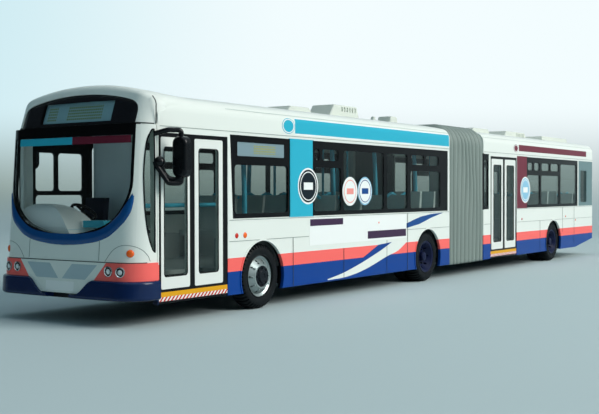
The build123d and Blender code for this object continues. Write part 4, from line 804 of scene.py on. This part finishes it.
# Painted shadow: these dark tubes along the hood's feet stand for the joint there and the shade under the
# hood
for side_name, edge in (("near", hood_points[-1]), ("off", hood_points[0])):
    edge = edge[(edge[:, 0] > MASK_X - 0.2)][1:]
    tube(f"hood_edge_{side_name}", edge, LINE_RADIUS, prints["dark seam"])

# Strips along the top of the windscreen, on its glass
GLASS_LIFT = -0.1
for name, start_y, end_y in (("teal", -12.6, 0.85), ("maroon", 0.85, 13.9)):
    nose_print(f"screen_strip_{name}", np.linspace(start_y, end_y, 30), 30.1, 31.35, name, lift=GLASS_LIFT)


def nose_seat(side, inset, z, lift):
    """A place on the nose, inset from the side, and the way that the nose faces there."""
    y = HALF_WIDTH - inset
    step = 0.05
    slope = float(nose_x(y, z) - nose_x(y + step, z)) / step
    return (float(nose_x(y, z)) + lift, side * y, z), (1.0, side * slope, 0.0)


# Headlamps and indicators: a plated rim, a dark ring and a bright bulb lens, or a domed orange lens
r = 0.8
lamp_parts = (
    ("rim", [(r - 0.02, 0.05), (r + 0.05, 0.2), (r - 0.06, 0.26), (r - 0.16, 0.14)], chrome),
    ("ring", [(r - 0.34, 0.13), (r - 0.16, 0.13), (r - 0.16, 0.17), (r - 0.34, 0.17)], hub_dark),
    ("glass", dome(r - 0.32, 0.28), lenses["clear"]))
for side, side_name in SIDES:
    for number, (inset, z) in enumerate(((5.45, 9.15), (3.0, 9.1))):
        centre, normal = nose_seat(side, inset, z, APRON_SWELL)
        for part, profile, finish in lamp_parts:
            button(f"lamp_{part}_{number}_{side_name}", centre, normal, profile, finish, FRONT)
    centre, normal = nose_seat(side, 1.8, 12.1, 0.08)
    button(f"indicator_{side_name}", centre, normal, dome(0.6, 0.25), lenses["orange"], FRONT)

# Black gaskets round the narrow lights beside the windscreen
quarter = smooth_curve([
    (0.55, 32.35), (1.1, 32.0), (1.85, 30.0), (2.3, 26.5), (2.45, 23.5), (2.4, 19.1), (2.05, 15.6),
    (1.3, 13.0), (0.55, 12.15)], 70)
quarter = np.vstack([quarter, np.stack([np.full(20, 0.55), np.linspace(12.6, 31.9, 20)], -1)])
quarter_x = MASK_X + quarter[:, 0]
quarter_z = quarter[:, 1]
depth = np.linspace(HALF_WIDTH - 3.5, HALF_WIDTH, 400)
face_x = nose_x(depth[None, :], quarter_z[:, None])
quarter_y = depth[np.argmin(np.abs(face_x - quarter_x[:, None]), axis=1)]
quarter_y = np.where(quarter_x < face_x[:, -1], HALF_WIDTH, quarter_y)
for side, side_name in SIDES:
    tube(f"quarter_gasket_{side_name}", places(quarter_x, side * quarter_y, quarter_z), 0.13, gasket_black,
         loop=True)

# Gaskets round the door glass, its edges given in percent of the section's length
DOOR_GLASS_TOP_Z = 29.5
DOOR_GLASS_FOOT_Z = 8.0
DOOR_GLASS_ROUND = 0.5
for body, section_start, section_end, leaves in (
        (FRONT, MASK_X, FRONT_END_X, ((1.64, 6.93), (9.75, 14.59))),
        (REAR, REAR_START_X, REAR_X, ((7.39, 13.01), (17.17, 22.68)))):
    for number, (ahead, behind) in enumerate(leaves):
        r = DOOR_GLASS_ROUND
        front_x = section_start + (section_end - section_start) * ahead / 100 - r
        back_x = section_start + (section_end - section_start) * behind / 100 + r
        top_z = DOOR_GLASS_TOP_Z - r
        foot_z = DOOR_GLASS_FOOT_Z + r
        ring = []
        for centre_x, centre_z, start in (
                (front_x, top_z, 0.0), (back_x, top_z, 0.5), (back_x, foot_z, 1.0), (front_x, foot_z, 1.5)):
            angle = np.linspace(0, math.pi / 2, 6) + start * math.pi
            ring.append(places(centre_x + r * np.cos(angle), HALF_WIDTH - 0.1, centre_z + r * np.sin(angle)))
        tube(f"door_gasket_{body}_{number}", np.vstack(ring), 0.11, gasket_black, body,
             loop=True)

# Inside the doorway: a light blue rail
tube("doorway_rail", places(np.linspace(108.0, 86.0, 12), 9.6, 19.7), 0.38, pole_blue, sides=12)

# Grab poles beside the windows, and the rails along the seat backs
POLE_RADIUS = 0.5
RAIL_RADIUS = 0.36
for side, side_name in SIDES:
    for number, back in enumerate((37.5, 58.0, 69.5, 88.0, 108.0)):
        pole_z = np.linspace(7.0, 36.5, 16)
        pole_y = side * (11.6 - 0.8 * np.clip((pole_z - 18.0) / 18.0, 0, 1) ** 2)
        tube(f"grab_pole_{number}_{side_name}", places(along(back), pole_y, pole_z), POLE_RADIUS, pole_blue,
             sides=10)
    for number, (body, start, end) in enumerate((
            (FRONT, 56.0, 84.0), (FRONT, 94.0, 113.0), (REAR, 166.0, 222.0))):
        rail_x = np.linspace(along(start), along(end), 24)
        rail = places(rail_x, side * 11.0, 21.2 + 0.5 * np.cos(rail_x * 0.9))
        tube(f"seat_rail_{number}_{side_name}", rail, RAIL_RADIUS, pole_blue, body)

# Mirror glass, an ellipse of power 3 on the back of each head
MIRROR_STEPS = 64
turn = full_turn(MIRROR_STEPS)
bend = (np.abs(np.cos(turn)) ** 3 + np.abs(np.sin(turn)) ** 3) ** (-1 / 3)
faces = grid_faces(2, MIRROR_STEPS, wrap_columns=True)
faces += [list(range(MIRROR_STEPS)), list(range(MIRROR_STEPS, 2 * MIRROR_STEPS))]
for name, head_x, head_y, low, high, width in (
        ("near", MASK_X - 2.4, HALF_WIDTH + 3.15, 24.4, 31.2, 3.0),
        ("off", MASK_X - 4.0, -HALF_WIDTH - 2.2, 26.4, 30.8, 2.6)):
    rim_y = head_y + (width / 2 - 0.3) * bend * np.cos(turn)
    rim_z = (low + high) / 2 + ((high - low) / 2 - 0.35) * bend * np.sin(turn)
    back_x = head_x - 0.8
    rings = np.concatenate([places(back_x + 0.1, rim_y, rim_z), places(back_x - 0.06, rim_y, rim_z)])
    piece(f"mirror_glass_{name}", rings, mirror_glass, FRONT, faces)

# The nearside mirror's thick lower loop, which hangs from a ball joint
BALL_RADIUS = 0.92
loop = smooth_curve([
    (110.2, 16.5, 27.3), (109.6, 16.75, 26.2), (109.1, 17.0, 25.0), (108.7, 17.7, 24.2), (108.3, 18.7, 23.95),
    (107.9, 19.6, 24.35), (107.7, 19.8, 25.2)], 36)
tube("mirror_loop", loop, 0.58, black_satin, sides=12)
ball = np.linspace(-math.pi / 2, math.pi / 2, 13)
ball = np.stack([np.maximum(BALL_RADIUS * np.cos(ball), 0.001), BALL_RADIUS * np.sin(ball)], -1)
button("mirror_ball", (110.0, 16.95, 27.0), (0.3, 1.0, 0.0), ball, black_satin, FRONT)

# Tail: blank plate and lamp rims
plate = places(REAR_X - 0.05, np.linspace(-4.2, 4.2, 3)[:, None], np.linspace(14.6, 16.6, 3))
plate = piece("tail_plate", plate, prints["pale"], REAR, outward=False, smooth=False)
thicken(plate, 0.1, 0.0)
for side, side_name in SIDES:
    for number, z in enumerate((15.2, 13.3, 11.4)):
        button(f"tail_rim_{number}_{side_name}", (REAR_X, side * (HALF_WIDTH - 3.15), z), (-1, 0, 0),
               [(0.78, -0.05), (0.98, -0.02), (0.92, 0.12), (0.78, 0.08)], chrome, REAR)

# Bellows: an arch outline carried along the gap, drawn in and out as nine pleats
BELLOWS_BOTTOM_Z = 3.3
BELLOWS_TOP_Z = 39.2
BELLOWS_SHOULDER = 5.0
BELLOWS_GAP = 0.12
BELLOWS_WALL = 0.35
ARCH_STEPS = 200
PLEATS = 9
PLEAT_DEPTH = 1.3
PLEAT_STEPS = 12


def arch_outline(count):
    """Points and outward directions round an arch: up one side, round a shoulder, over, and down."""
    half = HALF_WIDTH - 0.15
    r = BELLOWS_SHOULDER
    straight = BELLOWS_TOP_Z - r - BELLOWS_BOTTOM_Z
    turn = r * math.pi / 2
    top = 2 * (half - r)
    stops = np.cumsum([0, straight, turn, top, turn, straight])
    s = np.linspace(0, stops[-1], count)
    rise = np.clip(s, 0, straight) - np.clip(s - stops[4], 0, straight)
    angle = np.clip(s - stops[1], 0, turn) / r + np.clip(s - stops[3], 0, turn) / r
    slide = np.clip(s - stops[2], 0, top)
    y = half - r + r * np.cos(angle) - slide
    z = BELLOWS_BOTTOM_Z + rise + r * np.sin(angle)
    return s, np.stack([y, z], -1), np.stack([np.cos(angle), np.sin(angle)], -1)


steps = PLEATS * PLEAT_STEPS + 1
s, point, outward = arch_outline(ARCH_STEPS)
t = np.linspace(0, 1, steps)[:, None]
fold = np.abs(np.sin(math.pi * PLEATS * t)) ** 0.8
# Soft folds wander: each ridge leans by up to 0.75 mm and its depth drifts by a quarter
wander = 0.16 * np.sin(s * 0.11 + 9.0 * t) + 0.1 * np.sin(s * 0.043 + 17 * t)
depth = PLEAT_DEPTH * (1.0 - fold) * (1.0 + wander)
drift = np.sin(math.pi * t) * (0.55 * np.sin(s * 0.13 + 4 * t) + 0.2 * np.sin(s * 0.29 + 9 * t))
x = FRONT_END_X - BELLOWS_GAP + (REAR_START_X - FRONT_END_X + 2 * BELLOWS_GAP) * t + drift
y, z = (point[None, :, axis] - outward[None, :, axis] * depth for axis in (0, 1))
bellows = piece("bellows_skin", places(x, y, z), bellows_grey, sharp=60.0, outward=False)
bellows.data.flip_normals()
thicken(bellows, BELLOWS_WALL, -1.0)
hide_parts("bellows")
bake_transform(bellows)

# Tyres with moulded shoulder lugs
LUGS = 44
LUG_DEPTH = 0.5
LUG_SHARE = 0.25
SHOULDER_DROP = 0.25
SHOULDER_WIDTH = 0.3


def tyre_profile(width, twin):
    """Closed section of (radius, y): bore, round walls and a nearly flat tread; a twin has a deep groove."""
    outer = WHEEL_FACE_Y
    inner = WHEEL_FACE_Y - width
    bore = RIM_RADIUS + 0.03
    r = TYRE_RADIUS
    wall = [(bore + rise, outer + step) for rise, step in ((0, -0.12), (0.12, 0), (0.3, -0.1), (0.6, -0.04))]
    wall += [(r - fall, outer + step) for fall, step in (
        (1.0, 0.02), (0.7, -0.08), (0.38, -0.28), (0.12, -0.6), (0, -1.0))]
    tread = [(r, outer - 1.75)]
    if twin:
        middle = (outer + inner) / 2
        tread = [(r - fall, middle + step) for fall, step in (
            (0, 0.7), (0.15, 0.45), (1.2, 0.2), (1.2, -0.2), (0.15, -0.45), (0, -0.7))]
    back = [(radius, inner + (outer - y)) for radius, y in reversed(wall)]
    return np.array(wall + tread + back)


def lug_notch(turn, radius):
    """Depth of the notches in the shoulders, cut where the sine of the turn times 44 is over 0.25."""
    groove = (np.sin(turn * LUGS) > LUG_SHARE).astype(float)
    shoulder = np.exp(-((radius - (TYRE_RADIUS - SHOULDER_DROP)) / SHOULDER_WIDTH) ** 2)
    return LUG_DEPTH * groove * shoulder


def studs(name, axle_x, side, circle, count, radius, low, high, finish, body):
    """Hexagonal nuts round an axle, each six corners at its own angle, joined as one mesh."""
    corner = full_turn(6)
    centre = full_turn(count)[:, None]
    x = axle_x + circle * np.cos(centre) + radius * np.cos(corner)
    z = HUB_Z + circle * np.sin(centre) + radius * np.sin(corner)
    points = np.stack([places(x, side * level, z) for level in (low, high)], axis=1)
    faces = []
    for number in range(count):
        start = number * 12
        faces += [[start + c for c in face] for face in grid_faces(2, 6, wrap_columns=True)]
        faces += [list(range(start, start + 6)), list(range(start + 6, start + 12))]
    piece(name, points, finish, body, faces)


# Sections of (radius, y) of the front hub and of the cap in a twin wheel
FRONT_HUB = [
    (0.001, 15.78), (1.98, 15.78), (1.98, 16.1), (1.85, 16.28), (1.35, 16.3), (1.25, 16.5), (1.1, 16.62),
    (0.6, 16.62), (0.5, 16.5), (0.001, 16.5)]
TWIN_CAP = [(0.001, 14.6), (1.1, 14.6), (1.1, 15.3), (0.95, 15.5), (0.5, 15.62), (0.001, 15.65)]
for axle, axle_x in AXLES.items():
    twin = axle != "front"
    profile = tyre_profile(TWIN_TYRE_WIDTH if twin else TYRE_WIDTH, twin)
    body = f"{axle}_axle"
    for side, side_name in SIDES:
        tyre = turned(f"{axle}_tyre_{side_name}", profile, axle_x, side, rubber, body,
                      steps=LUGS * 6, sharp=38.0, notch=lug_notch)
        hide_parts(f"{axle}_tyres")
        if twin:
            studs(f"{axle}_nuts_{side_name}", axle_x, side, 1.75, 10, 0.2, 14.1, 14.65, hub_dark,
                  body)
            turned(f"{axle}_cap_{side_name}", TWIN_CAP, axle_x, side, rim_navy, body)
        else:
            turned(f"front_hub_{side_name}", FRONT_HUB, axle_x, side, hub_dark, body)
            studs(f"front_hub_nuts_{side_name}", axle_x, side, 1.6, 8, 0.17, 16.2, 16.52, hub_dark,
                  body)
            studs(f"front_rim_nuts_{side_name}", axle_x, side, 2.62, 10, 0.17, 15.6, 16.25, rim_silver,
                  body)

# Studio: the camera that fits the photograph, a pale sweep of paper, a large soft lamp and weak fill
EYE = Vector((0.2315, 0.1270, 0.0220))
YAW = math.radians(214.16)
PITCH = math.radians(-0.86)
ROLL = math.radians(-0.10)
LENS_MM = 59.64
SENSOR_MM = 36.0

forward = Vector((math.cos(YAW) * math.cos(PITCH), math.sin(YAW) * math.cos(PITCH), math.sin(PITCH)))
right = Vector((math.sin(YAW), -math.cos(YAW), 0.0))
up = right.cross(forward)
right, up = (
    math.cos(ROLL) * right + math.sin(ROLL) * up,
    math.cos(ROLL) * up - math.sin(ROLL) * right)
camera_data = bpy.data.cameras.new("camera")
camera_data.lens = LENS_MM
camera_data.sensor_width = SENSOR_MM
camera_data.sensor_fit = "HORIZONTAL"
camera_data.clip_start = 0.005
camera_data.clip_end = 20.0
camera = bpy.data.objects.new("camera", camera_data)
bpy.context.scene.collection.objects.link(camera)
camera.matrix_world = Matrix.Translation(EYE) @ Matrix((right, up, -forward)).transposed().to_4x4()
bpy.context.scene.camera = camera

# The paper sweep: flat floor, then a quarter turn of radius 0.35 m up into a wall, square to the view
SWEEP_RADIUS = 0.35
SWEEP_START = 0.55
SWEEP_WALL = 1.6
flat_forward = np.array([math.cos(YAW), math.sin(YAW)])
flat_right = np.array([math.sin(YAW), -math.cos(YAW)])
bend = np.linspace(0, math.pi / 2, 40)
run = np.concatenate([[-2.0, -0.5, 0.0, SWEEP_START * 0.6], SWEEP_START + SWEEP_RADIUS * np.sin(bend),
                      [SWEEP_START + SWEEP_RADIUS]])[:, None]
height = np.concatenate([np.zeros(4), SWEEP_RADIUS * (1 - np.cos(bend)), [SWEEP_WALL]])[:, None]
wide = np.linspace(-2.0, 2.0, 9)
sweep_x, sweep_y = (EYE[axis] + run * flat_forward[axis] + wide * flat_right[axis] for axis in (0, 1))

# The paper glows to the camera as a backdrop with painted light and shade: darker on the far floor and to the
# left, paler up the wall and to the right; it is mirrored weakly
BACKDROP_LEFT = -350.0
MIRRORED_SHARE = 0.35
paper, tree = bare_material("pale matt paper")
matt = principled(tree, "b9c9cb", 0.85)
x, y, z = place_axes(tree)
lateral = maths("ADD", maths("MULTIPLY", x, float(flat_right[0])), maths("MULTIPLY", y, float(flat_right[1])))
# Painted light: the glow darkens to the left, where the lamp's light falls off
lit_rightward = ramp(lateral, BACKDROP_LEFT, 0.0)
far_floor = over("74877c", "a9b8b8", lit_rightward)
wall_top = over("cdebf2", "f3fdff", lit_rightward)
backdrop = over(far_floor, wall_top, ramp(z, 3.0, 95.0))
glow = add(tree, "ShaderNodeEmission", {"Color": backdrop, "Strength": 1.0})
rays = add(tree, "ShaderNodeLightPath").outputs
seen = maths("MAXIMUM", rays["Is Camera Ray"], rays["Is Transmission Ray"])
seen = maths("MAXIMUM", seen, maths("MULTIPLY", rays["Is Glossy Ray"], MIRRORED_SHARE))
show(over_shader(matt, glow, maths("MULTIPLY", seen, ramp(z, 0.5, 30.0))))
sweep = piece("paper_sweep", places(sweep_x, sweep_y, height) / MM, paper, outward=False)

# World: even weak light; what gloss mirrors is a pale room, brighter above and on the nearside
world = bpy.data.worlds.new("studio")
bpy.context.scene.world = world
world.use_nodes = True
tree = world.node_tree
tree.nodes.clear()
rays = add(tree, "ShaderNodeLightPath").outputs
ambient = add(tree, "ShaderNodeBackground", {"Color": "acd6e6", "Strength": 0.29})
visible = add(tree, "ShaderNodeBackground", {"Color": "eef8fb", "Strength": 0.95})
direction = add(tree, "ShaderNodeTexCoord").outputs["Generated"]
towards = add(tree, "ShaderNodeVectorMath", {0: direction, 1: (-0.1, 0.5, 0.86)}, operation="DOT_PRODUCT")
room_level = ramp(towards.outputs["Value"], 0.1, 1.0, 0.05, 0.8)
room = add(tree, "ShaderNodeBackground", {"Color": "e6f4f8", "Strength": room_level})
mirrored_room = over_shader(ambient, room, rays["Is Glossy Ray"])
studio = over_shader(mirrored_room, visible, rays["Is Camera Ray"])
add(tree, "ShaderNodeOutputWorld", {"Surface": studio.outputs[0]})


def soft_lamp(name, place, target, size, watts, hex_value):
    """A square area lamp at a place in metres, turned towards a target."""
    data = bpy.data.lights.new(name, "AREA")
    data.shape = "SQUARE"
    data.size = size
    data.energy = watts
    data.color = linear(hex_value)[:3]
    lamp = bpy.data.objects.new(name, data)
    bpy.context.scene.collection.objects.link(lamp)
    lamp.location = place
    lamp.rotation_euler = (Vector(target) - Vector(place)).to_track_quat("-Z", "Y").to_euler()


soft_lamp("window_light", (-0.12, 0.62, 0.42), (0.0, 0.0, 0.02), 0.45, 5.5, "fffdf8")
soft_lamp("top_fill", (0.0, 0.05, 0.8), (0.0, 0.0, 0.0), 0.6, 1.2, "eaf6ff")

bpy.context.scene.view_settings.view_transform = "Standard"
